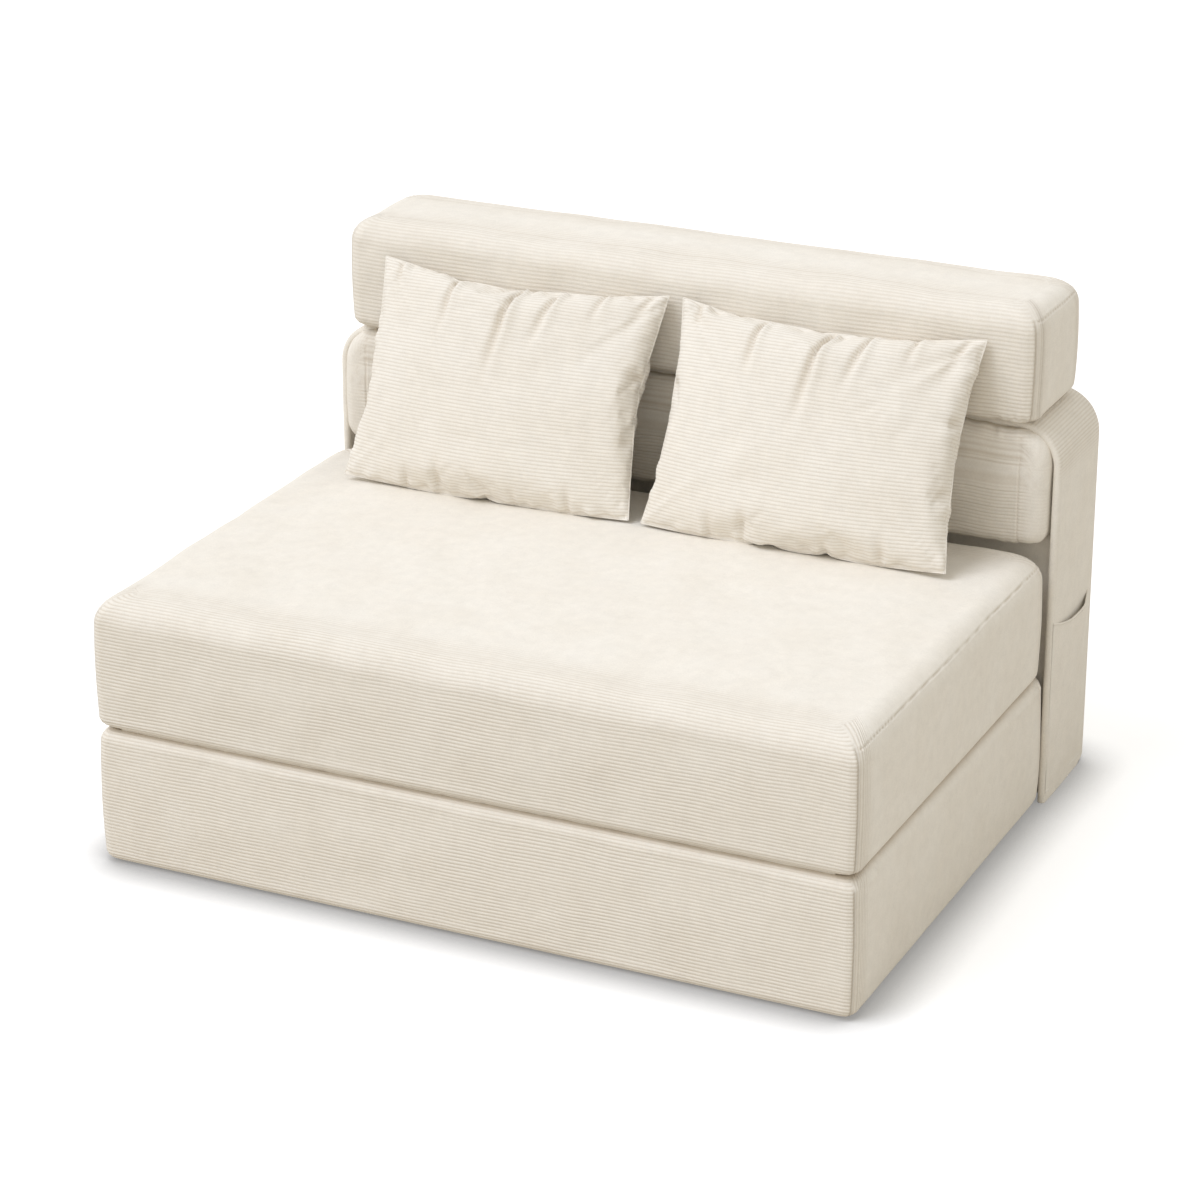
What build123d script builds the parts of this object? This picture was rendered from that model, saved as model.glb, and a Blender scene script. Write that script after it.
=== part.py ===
from build123d import *
import math
import os

# Folding sofa bed: two stacked foam blocks that open into a bed, a back made of a
# cushion and a bolster carried by a fabric hood with side pockets, and two loose pillows.
# Millimetres, +Z up, front towards -Y, origin on the floor under the middle of the whole.

# Bed blocks
bed_width = 1400.0
base_depth = 932.0
seat_setback = 27.0
block_height = 248.0
crease_gap = 2.2
block_corner = 50.0
base_bottom_edge = 26.0
crease_edge = 22.0
seat_top_edge = 44.0
seat_crown = 12.0
block_draw_in = 5.0
oversize_share = 0.25
cover_wall = 3.0
core_clearance = 0.3
comfort_thickness = 70.0
nonslip_thickness = 1.2
nonslip_margin = 36.0

# Fabric hinge along the front crease
hinge_reach = 70.0
hinge_thickness = 1.8
hinge_end_margin = 60.0
hinge_nose = 0.6

# Hood behind the blocks
hood_side_reach = 6.0
hood_lap = 20.0
hood_depth = 226.0
hood_wall = 14.0
hood_top_wall = 4.0
hood_top_corner = 78.0
hood_rear_corner = 18.0
hood_foot_corner = 44.0
hood_front_edge = 3.0
stiffener_thickness = 9.6
stiffener_clearance = 0.2
stiffener_rise = 50.0
stiffener_top_margin = 14.0
stiffener_front_margin = 7.0

# Pockets on the hood's side walls
pocket_front_margin = 8.0
pocket_rear_margin = 20.0
pocket_rise = 30.0
pocket_mouth_height = 346.0
pocket_mouth_sag = 20.0
pocket_depth = 7.8
pocket_fabric = 2.2
pocket_seam = 7.0
pocket_corner = 30.0
binding_width = 10.0
binding_thickness = 1.2

# Support block behind the base
support_gap = 12.0
support_top_gap = 2.4
support_side_gap = 0.5
support_edge = 12.0
support_wall = 2.0

# Lower back cushion
back_cushion_height = 206.1
back_cushion_reach = 29.0
back_cushion_lift = 3.0
back_cushion_gap = 0.5
back_cushion_rear_gap = 0.5
back_cushion_top_corner = 66.0
back_cushion_bottom_corner = 50.0
back_cushion_front_edge = 44.0
back_cushion_rear_edge = 8.0
back_cushion_draw_in = 3.0
back_wrap_thickness = 40.0

# Bolster
bolster_end_setback = 30.0
bolster_depth = 250.0
bolster_height = 212.0
bolster_reach = 36.0
bolster_corner = 44.0
bolster_top_edge = 38.0
bolster_bottom_edge = 22.0
bolster_crown = 8.0
bolster_draw_in = 4.0

# Hook and loop fastening
tape_thickness = 1.5
tape_length = 160.0
tape_width = 40.0
tape_places_share = (-0.62, 0.0, 0.62)
pad_length = 80.0
pad_height = 60.0
pad_side_margin = 70.0

# Zips
zip_tape_width = 24.0
zip_tape_thickness = 0.8
zip_chain_width = 4.6
zip_chain_height = 2.2
zip_end_margin = 190.0
slider_length = 12.0
slider_wall = 0.9
slider_clearance = 0.3
slider_bridge_length = 5.0
slider_bridge_height = 1.1
pull_length = 24.0
pull_width = 6.0
pull_thickness = 1.0

# Pillows
pillow_width = 570.0
pillow_height = 412.0
pillow_thickness = 128.0
pillow_lean = 25.5
pillow_half_gap = 12.0
pillow_top_room = 15.63
pillow_foot_clearance = 0.3
pillow_cover_wall = 1.6
pillow_edge_reach = 6.0
pillow_draw_in = 10.0

# Places that follow from the sizes
half_bed = bed_width / 2
seat_depth = base_depth - seat_setback
hood_front = base_depth - hood_lap
back_cushion_front = hood_front - back_cushion_reach
bolster_front = hood_front - bolster_reach
bolster_width = bed_width - 2 * bolster_end_setback
fold_reach = hinge_nose + hinge_thickness / 2
overall_depth = fold_reach + hood_front + hood_depth
front_line = fold_reach - overall_depth / 2
base_bottom = nonslip_thickness
base_top = base_bottom + block_height
crease_height = base_top + crease_gap / 2
seat_bottom = base_top + crease_gap
seat_top = seat_bottom + block_height
back_cushion_bottom = seat_top + back_cushion_lift
hood_height = back_cushion_bottom + back_cushion_height + back_cushion_gap + hood_top_wall
hood_half_width = half_bed + hood_side_reach
hood_front_y = front_line + hood_front
hood_rear_y = hood_front_y + hood_depth
hood_inner_half = hood_half_width - hood_wall
hood_inner_rear = hood_rear_y - hood_wall
bolster_bottom = hood_height + 2 * tape_thickness
pillow_centre_x = pillow_width / 2 + pillow_half_gap
pillow_foot_distance = pillow_height * math.sin(math.radians(pillow_lean)) + pillow_top_room
hinge_axis_y = front_line - hinge_nose


def arc_corner(start, end, centre):
    """Quarter arc from start to end around centre."""
    reach = math.dist(start, centre)
    middle_x = (start[0] + end[0]) / 2 - centre[0]
    middle_y = (start[1] + end[1]) / 2 - centre[1]
    stretch = reach / math.hypot(middle_x, middle_y)
    middle = (centre[0] + middle_x * stretch, centre[1] + middle_y * stretch)
    return ThreePointArc(start, middle, end)


def swollen_view(half_width, height, draw_in, crown, edges):
    """Block seen from one side: walls swell at mid height, the top is crowned, corners are round."""
    edge = half_width - draw_in
    swell = half_width + draw_in * oversize_share
    shoulder = height - crown
    walls = [
        ThreePointArc((edge, shoulder), (swell, shoulder / 2), (edge, 0)),
        Line((edge, 0), (-edge, 0)),
        ThreePointArc((-edge, 0), (-swell, shoulder / 2), (-edge, shoulder)),
    ]
    if crown > 0:
        top = ThreePointArc((-edge, shoulder), (0, height), (edge, shoulder))
    else:
        top = Line((-edge, shoulder), (edge, shoulder))
    view = make_face([top, *walls])
    for end, radius in zip((-1, 0), edges):
        view = fillet(view.vertices().group_by(Axis.Y)[end], radius)
    return view


def only_solid(shape):
    """The one solid of a result."""
    return shape.solids().sort_by(SortBy.VOLUME)[-1]


def plan_outline(width, depth, corners):
    """Rounded rectangle with its own radius at the near and the far corners."""
    plan = Rectangle(width, depth)
    for end, radius in zip((0, -1), corners):
        plan = fillet(plan.vertices().group_by(Axis.Y)[end], radius)
    return plan


def soft_block(size, corners, edges, draw_in, crown):
    """Cushion form: where its side view, its front view and its plan meet.

    The views swell a little past the plan, which trims them to size at mid height, and the
    front view rises a little past the side view, so that their crowns cross and don't touch.
    """
    width, depth, height = size
    lift = draw_in * oversize_share if crown > 0 else 0
    plan = extrude(plan_outline(width, depth, corners), height + lift)
    from_side = extrude(Plane.YZ * swollen_view(depth / 2, height, draw_in, crown, edges), width, both=True)
    view = swollen_view(width / 2, height + lift, draw_in, crown / 2 + lift, edges)
    from_front = extrude(Plane.XZ * view, depth, both=True)
    return only_solid(only_solid(plan & from_side) & from_front)


def cut_block(size, corners, edges, draw_in, crown, inset):
    """Straight block with bevelled edges that lies inside the cushion form by an inset."""
    height = size[2] - 3 * crown / 2 - 2 * inset
    width, depth = (length - 2 * (draw_in + inset) for length in size[:2])
    block = extrude(plan_outline(width, depth, [corner - inset for corner in corners]), height)
    for end, edge in zip((-1, 0), edges):
        block = chamfer(block.faces().sort_by(Axis.Z)[end].edges(), max(edge, 2 * inset) - inset)
    return Pos(0, 0, inset) * only_solid(block)


def cushion_shape(inset, *form):
    """Outer form, or the straight block inside it."""
    return cut_block(*form, inset) if inset > 0 else soft_block(*form)


def cover_of(make_form, wall):
    """Sewn cover: the form less the room inside it."""
    return only_solid(make_form(0.0) - make_form(wall))


def base_form(inset):
    size = (bed_width, base_depth, block_height)
    corners = (block_corner, block_corner)
    edges = (crease_edge, base_bottom_edge)
    form = cushion_shape(inset, size, corners, edges, block_draw_in, 0)
    return Pos(0, front_line + base_depth / 2, base_bottom) * form


def seat_form(inset):
    size = (bed_width, seat_depth, block_height)
    corners = (block_corner, block_corner)
    edges = (seat_top_edge, crease_edge)
    form = cushion_shape(inset, size, corners, edges, block_draw_in, seat_crown)
    return Pos(0, front_line + seat_depth / 2, seat_bottom) * form


def bolster_form(inset):
    size = (bolster_width, bolster_depth, bolster_height)
    corners = (bolster_corner, bolster_corner)
    edges = (bolster_top_edge, bolster_bottom_edge)
    form = cushion_shape(inset, size, corners, edges, bolster_draw_in, bolster_crown)
    return Pos(0, front_line + bolster_front + bolster_depth / 2, bolster_bottom) * form


def back_cushion_form(inset):
    """Lower back cushion, shaped on its front view so that its top corners follow the hood."""
    middle = back_cushion_bottom + back_cushion_height / 2
    front = front_line + back_cushion_front
    rear = hood_inner_rear - back_cushion_rear_gap
    size = (2 * (hood_inner_half - back_cushion_gap), back_cushion_height, rear - front)
    corners = (back_cushion_bottom_corner, back_cushion_top_corner)
    edges = (back_cushion_front_edge, back_cushion_rear_edge)
    form = cushion_shape(inset, size, corners, edges, back_cushion_draw_in, 0)
    front_view = Plane(origin=(0, rear, middle), x_dir=(1, 0, 0), z_dir=(0, -1, 0))
    return front_view * form


def layers(form, height):
    """Lower and upper foam layers of a form, parted at a height."""
    parting = Plane.XY.offset(height)
    lower = split(form, bisect_by=parting, keep=Keep.BOTTOM)
    upper = split(form, bisect_by=parting, keep=Keep.TOP)
    return only_solid(lower), only_solid(upper)


def nonslip_panel():
    width = bed_width - 2 * nonslip_margin
    depth = base_depth - 2 * nonslip_margin
    outline = RectangleRounded(width, depth, block_corner)
    panel = extrude(outline, nonslip_thickness)
    return Pos(0, front_line + base_depth / 2, 0) * panel


def hinge_strip():
    """Strip sewn to the base's top, ending in a rolled edge on the fold line."""
    length = bed_width - 2 * hinge_end_margin
    leaf = Box(length, hinge_reach, hinge_thickness, align=(Align.CENTER, Align.MIN, Align.MIN))
    roll = Rot(0, 90, 0) * Cylinder(hinge_thickness / 2, length)
    return Pos(0, hinge_axis_y, base_top) * only_solid(leaf + Pos(0, 0, hinge_thickness / 2) * roll)


def hood_profile(half_width, height, corner):
    """Arch seen from the front, open at the floor."""
    side = half_width - corner
    shoulder = height - corner
    edges = [
        Line((-half_width, 0), (half_width, 0)),
        Line((half_width, 0), (half_width, shoulder)),
        arc_corner((half_width, shoulder), (side, height), (side, shoulder)),
        Line((side, height), (-side, height)),
        arc_corner((-side, height), (-half_width, shoulder), (-side, shoulder)),
        Line((-half_width, shoulder), (-half_width, 0)),
    ]
    return make_face(edges)


def stiffener(name, room=0.0):
    """Board inside one wall of the hood, or the room it needs."""
    thickness = stiffener_thickness + 2 * room
    rise = stiffener_rise - room
    height = hood_height - hood_top_corner - stiffener_top_margin - stiffener_rise + 2 * room
    wall_middle = hood_half_width - hood_wall / 2
    if name == "rear":
        length = 2 * (hood_inner_half - hood_wall) + 2 * room
        place = (0, hood_rear_y - hood_wall / 2, rise)
        board = Box(length, thickness, height, align=(Align.CENTER, Align.CENTER, Align.MIN))
    else:
        side = -1 if name == "left" else 1
        front = hood_front_y + stiffener_front_margin - room
        length = hood_rear_y - hood_rear_corner - hood_front_y - stiffener_front_margin + 2 * room
        place = (side * wall_middle, front, rise)
        board = Box(thickness, length, height, align=(Align.CENTER, Align.MIN, Align.MIN))
    return Pos(*place) * board


def foot_shape():
    """Side view of the hood, rounded where its rear meets the floor, as wide as the hood."""
    heel_y = hood_rear_y - hood_foot_corner
    edges = [
        Line((hood_front_y, 0), (heel_y, 0)),
        arc_corner((heel_y, 0), (hood_rear_y, hood_foot_corner), (heel_y, hood_foot_corner)),
        Line((hood_rear_y, hood_foot_corner), (hood_rear_y, hood_height)),
        Line((hood_rear_y, hood_height), (hood_front_y, hood_height)),
        Line((hood_front_y, hood_height), (hood_front_y, 0)),
    ]
    return extrude(Plane.YZ * make_face(edges), hood_half_width, both=True)


def hood_cover():
    """Fabric sleeve: two side walls down to the floor, a rear wall and a rounded top."""
    outer_view = Plane(origin=(0, hood_rear_y, 0), x_dir=(1, 0, 0), z_dir=(0, -1, 0))
    outer = extrude(outer_view * hood_profile(hood_half_width, hood_height, hood_top_corner), hood_depth)
    outer = fillet(outer.edges().filter_by(Axis.Z).group_by(Axis.Y)[-1], hood_rear_corner)
    outer = fillet(outer.edges().filter_by(Axis.Z).group_by(Axis.Y)[0], hood_front_edge)
    inner_height = hood_height - hood_top_wall
    inner_corner = hood_top_corner - hood_wall
    inner_view = Plane(origin=(0, hood_inner_rear, 0), x_dir=(1, 0, 0), z_dir=(0, -1, 0))
    room = extrude(inner_view * hood_profile(hood_inner_half, inner_height, inner_corner), hood_depth)
    hood = (outer & foot_shape()) - room
    for name in ("left", "right", "rear"):
        hood = hood - stiffener(name, stiffener_clearance)
    return only_solid(hood)


def pocket_outline(front, rear, bottom, mouth, corner):
    """Side view of a pocket: square front, rounded foot at the rear, sagging mouth."""
    middle = (front + rear) / 2
    edges = [
        Line((front, bottom), (rear - corner, bottom)),
        arc_corner((rear - corner, bottom), (rear, bottom + corner), (rear - corner, bottom + corner)),
        Line((rear, bottom + corner), (rear, mouth)),
        ThreePointArc((rear, mouth), (middle, mouth - pocket_mouth_sag), (front, mouth)),
        Line((front, mouth), (front, bottom)),
    ]
    return make_face(edges)


def side_sheet(side, distance, face, thickness):
    """A side view outline, given a thickness outwards from a distance off the middle."""
    view = Plane(origin=(side * distance, 0, 0), x_dir=(0, 1, 0), z_dir=(1, 0, 0))
    return extrude(view * face, side * thickness)


def pocket_panel(side):
    """Pocket sewn to the wall along its front, foot and rear, open at its mouth."""
    front = hood_front_y + pocket_front_margin
    rear = hood_rear_y - pocket_rear_margin
    whole = pocket_outline(front, rear, pocket_rise, pocket_mouth_height, pocket_corner)
    panel = side_sheet(side, hood_half_width, whole, pocket_depth + pocket_fabric)
    inner_corner = pocket_corner - pocket_seam
    inner = pocket_outline(
        front + pocket_seam, rear - pocket_seam, pocket_rise + pocket_seam,
        pocket_mouth_height, inner_corner,
    )
    room = side_sheet(side, hood_half_width, inner, pocket_depth)
    return only_solid(panel - room)


def pocket_binding(side):
    """Tape sewn along the outside of the pocket's mouth."""
    front = hood_front_y + pocket_front_margin
    rear = hood_rear_y - pocket_rear_margin
    middle = (front + rear) / 2
    top, bottom = pocket_mouth_height, pocket_mouth_height - binding_width
    sag = pocket_mouth_sag
    edges = [
        ThreePointArc((front, top), (middle, top - sag), (rear, top)),
        Line((rear, top), (rear, bottom)),
        ThreePointArc((rear, bottom), (middle, bottom - sag), (front, bottom)),
        Line((front, bottom), (front, top)),
    ]
    distance = hood_half_width + pocket_depth + pocket_fabric
    return side_sheet(side, distance, make_face(edges), binding_thickness)


def support_form(inset):
    front = front_line + base_depth + support_gap
    width = 2 * (hood_inner_half - support_side_gap) - 2 * inset
    depth = hood_inner_rear - support_side_gap - front - 2 * inset
    height = back_cushion_bottom - support_top_gap - 2 * inset
    block = Box(width, depth, height, align=(Align.CENTER, Align.MIN, Align.MIN))
    block = fillet(block.edges().filter_by(Axis.Z), support_edge - inset)
    return Pos(0, front + inset, inset) * block


def fastening_pads(behind):
    """Hook pads on the support block, or loop pads on the base's rear face."""
    thickness = support_gap / 2
    rear = front_line + base_depth + (thickness if behind else 0)
    height = base_bottom + block_height / 2
    pads = []
    for side in (-1, 1):
        pad = Box(pad_length, thickness, pad_height, align=(Align.CENTER, Align.MIN, Align.CENTER))
        pads.append(Pos(side * (half_bed - block_corner - pad_side_margin), rear, height) * pad)
    return Compound(pads)


def bolster_tapes(level):
    """Three tapes between the hood and the bolster; level 0 is on the hood."""
    middle = (hood_front_y + hood_inner_rear) / 2
    tapes = []
    for share in tape_places_share:
        tape = Box(tape_length, tape_width, tape_thickness, align=(Align.CENTER, Align.CENTER, Align.MIN))
        tapes.append(Pos(share * bolster_width / 2, middle, hood_height + level * tape_thickness) * tape)
    return Compound(tapes)


def zip_chain(width, rear, height):
    """Zip tape with its raised chain, along a rear face."""
    length = width - 2 * zip_end_margin
    aligned = (Align.CENTER, Align.MIN, Align.CENTER)
    tape = Box(length, zip_tape_thickness, zip_tape_width, align=aligned)
    chain = Box(length, zip_tape_thickness + zip_chain_height, zip_chain_width, align=aligned)
    return Pos(0, rear, height) * only_solid(tape + chain)


def zip_slider(width, rear, height):
    """Slider that straddles the chain, with its bridge and hanging pull."""
    room_height = zip_chain_height + slider_clearance
    room_width = zip_chain_width + 2 * slider_clearance
    body_height = room_height - slider_clearance + slider_wall
    aligned = (Align.CENTER, Align.MIN, Align.CENTER)
    body = Box(slider_length, body_height, room_width + 2 * slider_wall, align=aligned)
    body = fillet(body.edges().filter_by(Axis.Y), slider_wall)
    body = body - Pos(0, -slider_clearance, 0) * Box(
        slider_length, room_height, room_width, align=aligned,
    )
    bridge = Pos(0, body_height, 0) * Box(
        slider_bridge_length, slider_bridge_height, room_width, align=aligned,
    )
    pull = Box(pull_width, pull_thickness, pull_length, align=(Align.CENTER, Align.MIN, Align.MAX))
    pull = fillet(pull.edges().filter_by(Axis.Y), pull_width / 3)
    pull = Pos(0, body_height + slider_bridge_height, room_width / 2) * pull
    slider = only_solid(body + bridge + pull)
    end = width / 2 - zip_end_margin - slider_length
    return Pos(end, rear + zip_tape_thickness + slider_clearance, height) * slider


def crown_drop(half_chord, crown, place):
    """How far a crowned top has fallen at a place off its middle."""
    radius = (half_chord ** 2 + crown ** 2) / (2 * crown)
    return radius - math.sqrt(radius ** 2 - place ** 2)


def seat_height_at(x, y):
    """Height of the seat's crowned top over a place."""
    along = crown_drop(seat_depth / 2 - block_draw_in, seat_crown, y - front_line - seat_depth / 2)
    lift = block_draw_in * oversize_share
    across = crown_drop(half_bed - block_draw_in, seat_crown / 2 + lift, x) - lift
    return seat_top - max(along, across)


def lens(half_chord, thickness):
    """Upright section of two arcs that meet in the seams above and below."""
    front = ThreePointArc((0, -half_chord), (-thickness / 2, 0), (0, half_chord))
    rear = ThreePointArc((0, half_chord), (thickness / 2, 0), (0, -half_chord))
    return make_face([front, rear])


def pointed_outline(half_width, half_height, draw_in):
    """Front view of a pillow: its sides are drawn in between pointed corners."""
    narrow, low = half_width - draw_in, half_height - draw_in
    signs = [(-1, -1), (1, -1), (1, 1), (-1, 1)]
    corners = [(right * half_width, up * half_height) for right, up in signs]
    middles = [(0, -low), (narrow, 0), (0, low), (-narrow, 0)]
    sides = [
        ThreePointArc(corner, middle, following)
        for corner, middle, following in zip(corners, middles, corners[1:] + corners[:1])
    ]
    return make_face(sides)


def pillow_form(inset):
    """Pillow: where a lens seen from the side, one seen from above and the front view meet."""
    half_width, half_height = pillow_width / 2 - inset, pillow_height / 2 - inset
    thickness = pillow_thickness - 2 * inset
    wide_thickness = thickness + pillow_edge_reach
    from_side = extrude(Plane.YZ * lens(half_height + pillow_edge_reach, thickness), half_width, both=True)
    above = Plane(origin=(0, 0, 0), x_dir=(0, 1, 0), z_dir=(0, 0, 1))
    from_above = extrude(above * lens(half_width + pillow_edge_reach, wide_thickness), half_height, both=True)
    front = pointed_outline(half_width, half_height, pillow_draw_in)
    from_front = extrude(Plane.XZ * front, thickness, both=True)
    return only_solid(only_solid(from_front & from_side) & from_above)


def place_pillow(form, side):
    """Stand a pillow on the seat, leaning back against the bolster."""
    foot = front_line + bolster_front - pillow_foot_distance
    half_chord = pillow_height / 2 + pillow_edge_reach
    edge_thickness = pillow_thickness / 2 - crown_drop(half_chord, pillow_thickness / 2, pillow_height / 2)
    dip = edge_thickness * math.sin(math.radians(pillow_lean))
    floor = seat_height_at(pillow_half_gap, foot) + dip + pillow_foot_clearance
    stood = Rot(-pillow_lean, 0, 0) * (Pos(0, 0, pillow_height / 2) * form)
    return Pos(side * pillow_centre_x, foot, floor) * stood


def pillow_cover(side):
    return place_pillow(cover_of(pillow_form, pillow_cover_wall), side)


def pillow_filling(side):
    return place_pillow(pillow_form(pillow_cover_wall + core_clearance), side)


def block_nodes(name, form, rear, bottom, comfort_on_top):
    """Cover, two foam layers, zip chain and slider of one bed block."""
    core, comfort = layers(form(cover_wall + core_clearance), bottom + block_height - comfort_thickness)
    if not comfort_on_top:
        comfort, core = layers(form(cover_wall + core_clearance), bottom + comfort_thickness)
    middle = bottom + block_height / 2
    return {
        f"{name}_cover": cover_of(form, cover_wall),
        f"{name}_foam_core": core,
        f"{name}_comfort_layer": comfort,
        f"{name}_zip": zip_chain(bed_width, rear, middle),
        f"{name}_zip_slider": zip_slider(bed_width, rear, middle),
    }


def back_nodes():
    """Hood with its boards and pockets, support block, lower cushion and bolster."""
    bolster_rear = front_line + bolster_front + bolster_depth
    bolster_middle = bolster_bottom + bolster_height / 2
    front_wrap_height = front_line + back_cushion_front + back_wrap_thickness
    inner = back_cushion_form(cover_wall + core_clearance)
    parting = Plane.XZ.offset(-front_wrap_height)
    wrap = split(inner, bisect_by=parting, keep=Keep.TOP)
    core = split(inner, bisect_by=parting, keep=Keep.BOTTOM)
    nodes = {
        "hood_cover": hood_cover(),
        "back_support_cover": cover_of(support_form, support_wall),
        "back_support_foam": support_form(support_wall + core_clearance),
        "back_cushion_cover": cover_of(back_cushion_form, cover_wall),
        "back_cushion_front_wrap": only_solid(wrap),
        "back_cushion_foam": only_solid(core),
        "bolster_cover": cover_of(bolster_form, cover_wall),
        "bolster_foam": bolster_form(cover_wall + core_clearance),
        "bolster_zip": zip_chain(bolster_width, bolster_rear, bolster_middle),
        "bolster_zip_slider": zip_slider(bolster_width, bolster_rear, bolster_middle),
        "bolster_hook_tapes": bolster_tapes(0),
        "bolster_loop_tapes": bolster_tapes(1),
        "base_loop_pads": fastening_pads(False),
        "back_hook_pads": fastening_pads(True),
    }
    for name in ("left", "right", "rear"):
        nodes[f"hood_{name}_stiffener"] = stiffener(name)
    for name, side in (("left", -1), ("right", 1)):
        nodes[f"{name}_pocket_panel"] = pocket_panel(side)
        nodes[f"{name}_pocket_binding"] = pocket_binding(side)
    return nodes


def all_nodes():
    nodes = block_nodes("base", base_form, front_line + base_depth, base_bottom, True)
    nodes.update(block_nodes("seat", seat_form, front_line + seat_depth, seat_bottom, False))
    nodes["base_nonslip_panel"] = nonslip_panel()
    nodes["fold_hinge_strip"] = hinge_strip()
    nodes.update(back_nodes())
    for name, side in (("left", -1), ("right", 1)):
        nodes[f"{name}_pillow_cover"] = pillow_cover(side)
        nodes[f"{name}_pillow_filling"] = pillow_filling(side)
    return nodes


os.makedirs("parts", exist_ok=True)
for node_name, shape in all_nodes().items():
    export_step(shape, f"parts/{node_name}.step")
print("fold axis y", round(hinge_axis_y, 3), "z", round(crease_height, 3))
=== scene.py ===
import math

import bpy
import numpy as np
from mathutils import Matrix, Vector


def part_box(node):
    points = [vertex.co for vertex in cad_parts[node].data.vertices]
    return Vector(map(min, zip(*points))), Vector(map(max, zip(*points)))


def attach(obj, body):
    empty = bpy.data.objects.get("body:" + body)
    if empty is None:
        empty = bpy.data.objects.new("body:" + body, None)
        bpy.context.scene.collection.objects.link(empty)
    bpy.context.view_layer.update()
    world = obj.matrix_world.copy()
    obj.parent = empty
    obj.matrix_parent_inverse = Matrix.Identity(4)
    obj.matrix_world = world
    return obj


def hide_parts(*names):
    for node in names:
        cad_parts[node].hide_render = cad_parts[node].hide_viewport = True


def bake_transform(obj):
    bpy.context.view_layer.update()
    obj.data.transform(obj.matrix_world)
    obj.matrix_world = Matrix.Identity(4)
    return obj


# Dressed folding sofa bed: corduroy covers with real ribs, seams and swelling, simulated
# pillows, a hood with pockets, zips and the fold's fabric hinge. Metres, +Z up, front -Y.

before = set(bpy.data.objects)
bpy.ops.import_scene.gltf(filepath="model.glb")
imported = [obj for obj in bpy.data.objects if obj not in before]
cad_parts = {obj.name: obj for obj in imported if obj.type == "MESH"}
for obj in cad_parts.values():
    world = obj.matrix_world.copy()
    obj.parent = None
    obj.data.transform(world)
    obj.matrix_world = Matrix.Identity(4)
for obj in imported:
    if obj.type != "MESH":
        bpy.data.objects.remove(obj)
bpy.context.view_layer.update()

# Corduroy
rib_pitch = 0.0064
rib_samples = 4
rib_height = 0.0011
rib_sharpness = 0.6
row_step = rib_pitch / rib_samples
front_fade = 0.085
side_fade = 0.06
side_rib_weight = 2.6
# Share of painted shade in the upright ribs beside the corners
side_rib_shade_weight = 0.45

# Sewn seams
seam_depth = 0.0022
seam_half_width = 0.0014
welt_height = 0.0009
welt_offset = 0.0036
welt_half_width = 0.0018
stitch_pitch = 0.013

# Swelling of the cushions
crown_power = 2.4
rim_share = 0.8
still_start = 0.002
still_reach = 0.032
# Half width of the painted shade where two blocks meet
crease_shade = 0.0055

# Mesh steps of the cushions
corner_lines = 8
coarse_step = 0.016
corner_zone = 0.022
coarse_growth = 0.05


# Numbers and fields

def smooth(value, start, end):
    """0 before start, 1 after end, smooth between."""
    share = np.clip((np.asarray(value, float) - start) / (end - start), 0, 1)
    return share * share * (3 - 2 * share)


def bump_at(distance, half_width):
    """Bell that is 1 at distance 0."""
    return np.exp(-(distance / half_width) ** 2)


def soft_noise(points, wavelength, seed, waves=20):
    """Smooth random field of about unit size."""
    random = np.random.default_rng(seed)
    directions = random.normal(size=(waves, 3))
    directions /= np.linalg.norm(directions, axis=1)[:, None]
    lengths = 2 * math.pi / wavelength * random.uniform(0.6, 1.5, waves)
    phases = random.uniform(0, 2 * math.pi, waves)
    return np.sin(points @ (directions * lengths[:, None]).T + phases).sum(1) / math.sqrt(waves / 2)


def swelling(points, seed):
    """Slow field of broad and lesser swells."""
    return soft_noise(points, 0.30, seed) + 0.5 * soft_noise(points, 0.11, seed + 1)


def crown(off_a, off_b):
    """Swelling of a cushion's face, from 1 in its middle to 0 at its rim."""
    share_a, share_b = (1 - np.abs(off) ** crown_power for off in (off_a, off_b))
    return np.clip(share_a, 0, 1) * np.clip(share_b, 0, 1)


def rib_wave(distance, pitch=rib_pitch):
    """Wale: broad round ridge, narrow groove, from 0 to 1."""
    return np.abs(np.sin(math.pi * distance / pitch)) ** rib_sharpness


def stations(length, near_zone, far_zone, fine_step):
    """Shares of a length, fine near both ends and coarse between."""
    near_zone = min(near_zone, length / 2)
    places = [0.0]
    while places[-1] < length:
        place = places[-1]
        beyond = min(max(place - near_zone, 0), max(length - far_zone - place, 0))
        coarseness = float(smooth(beyond, 0, coarse_growth))
        places.append(place + fine_step + (coarse_step - fine_step) * coarseness)
    places = np.array(places)
    kept = min(near_zone + coarse_growth, 0.6 * length)
    beyond = places > kept
    anchor = places[~beyond][-1]
    places[beyond] = anchor + (places[beyond] - anchor) * (length - anchor) / (places[-1] - anchor)
    return places / length


# Meshes

def vertex_normals(points, faces):
    """Unit normals from the quads around each vertex."""
    a, b, c, d = (points[faces[:, i]] for i in range(4))
    face_normals = np.cross(c - a, d - b)
    normals = np.zeros_like(points)
    for corner in range(4):
        for axis in range(3):
            normals[:, axis] += np.bincount(faces[:, corner], face_normals[:, axis], len(points))
    return normals / np.maximum(np.linalg.norm(normals, axis=1), 1e-12)[:, None]


def mesh_object(name, points, faces, material, groove_shade=None):
    """Smooth object from arrays, with each vertex's share of painted shade for rib valleys, seams and
    creases.
    """
    mesh = bpy.data.meshes.new(name)
    mesh.from_pydata(points.tolist(), [], [list(face) for face in faces])
    mesh.update()
    mesh.shade_smooth()
    mesh.materials.append(material)
    attribute = mesh.attributes.new("groove_shade", "FLOAT", "POINT")
    values = np.zeros(len(points)) if groove_shade is None else groove_shade
    attribute.data.foreach_set("value", np.asarray(values, np.float32))
    piece = bpy.data.objects.new(name, mesh)
    bpy.context.scene.collection.objects.link(piece)
    return piece


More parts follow.
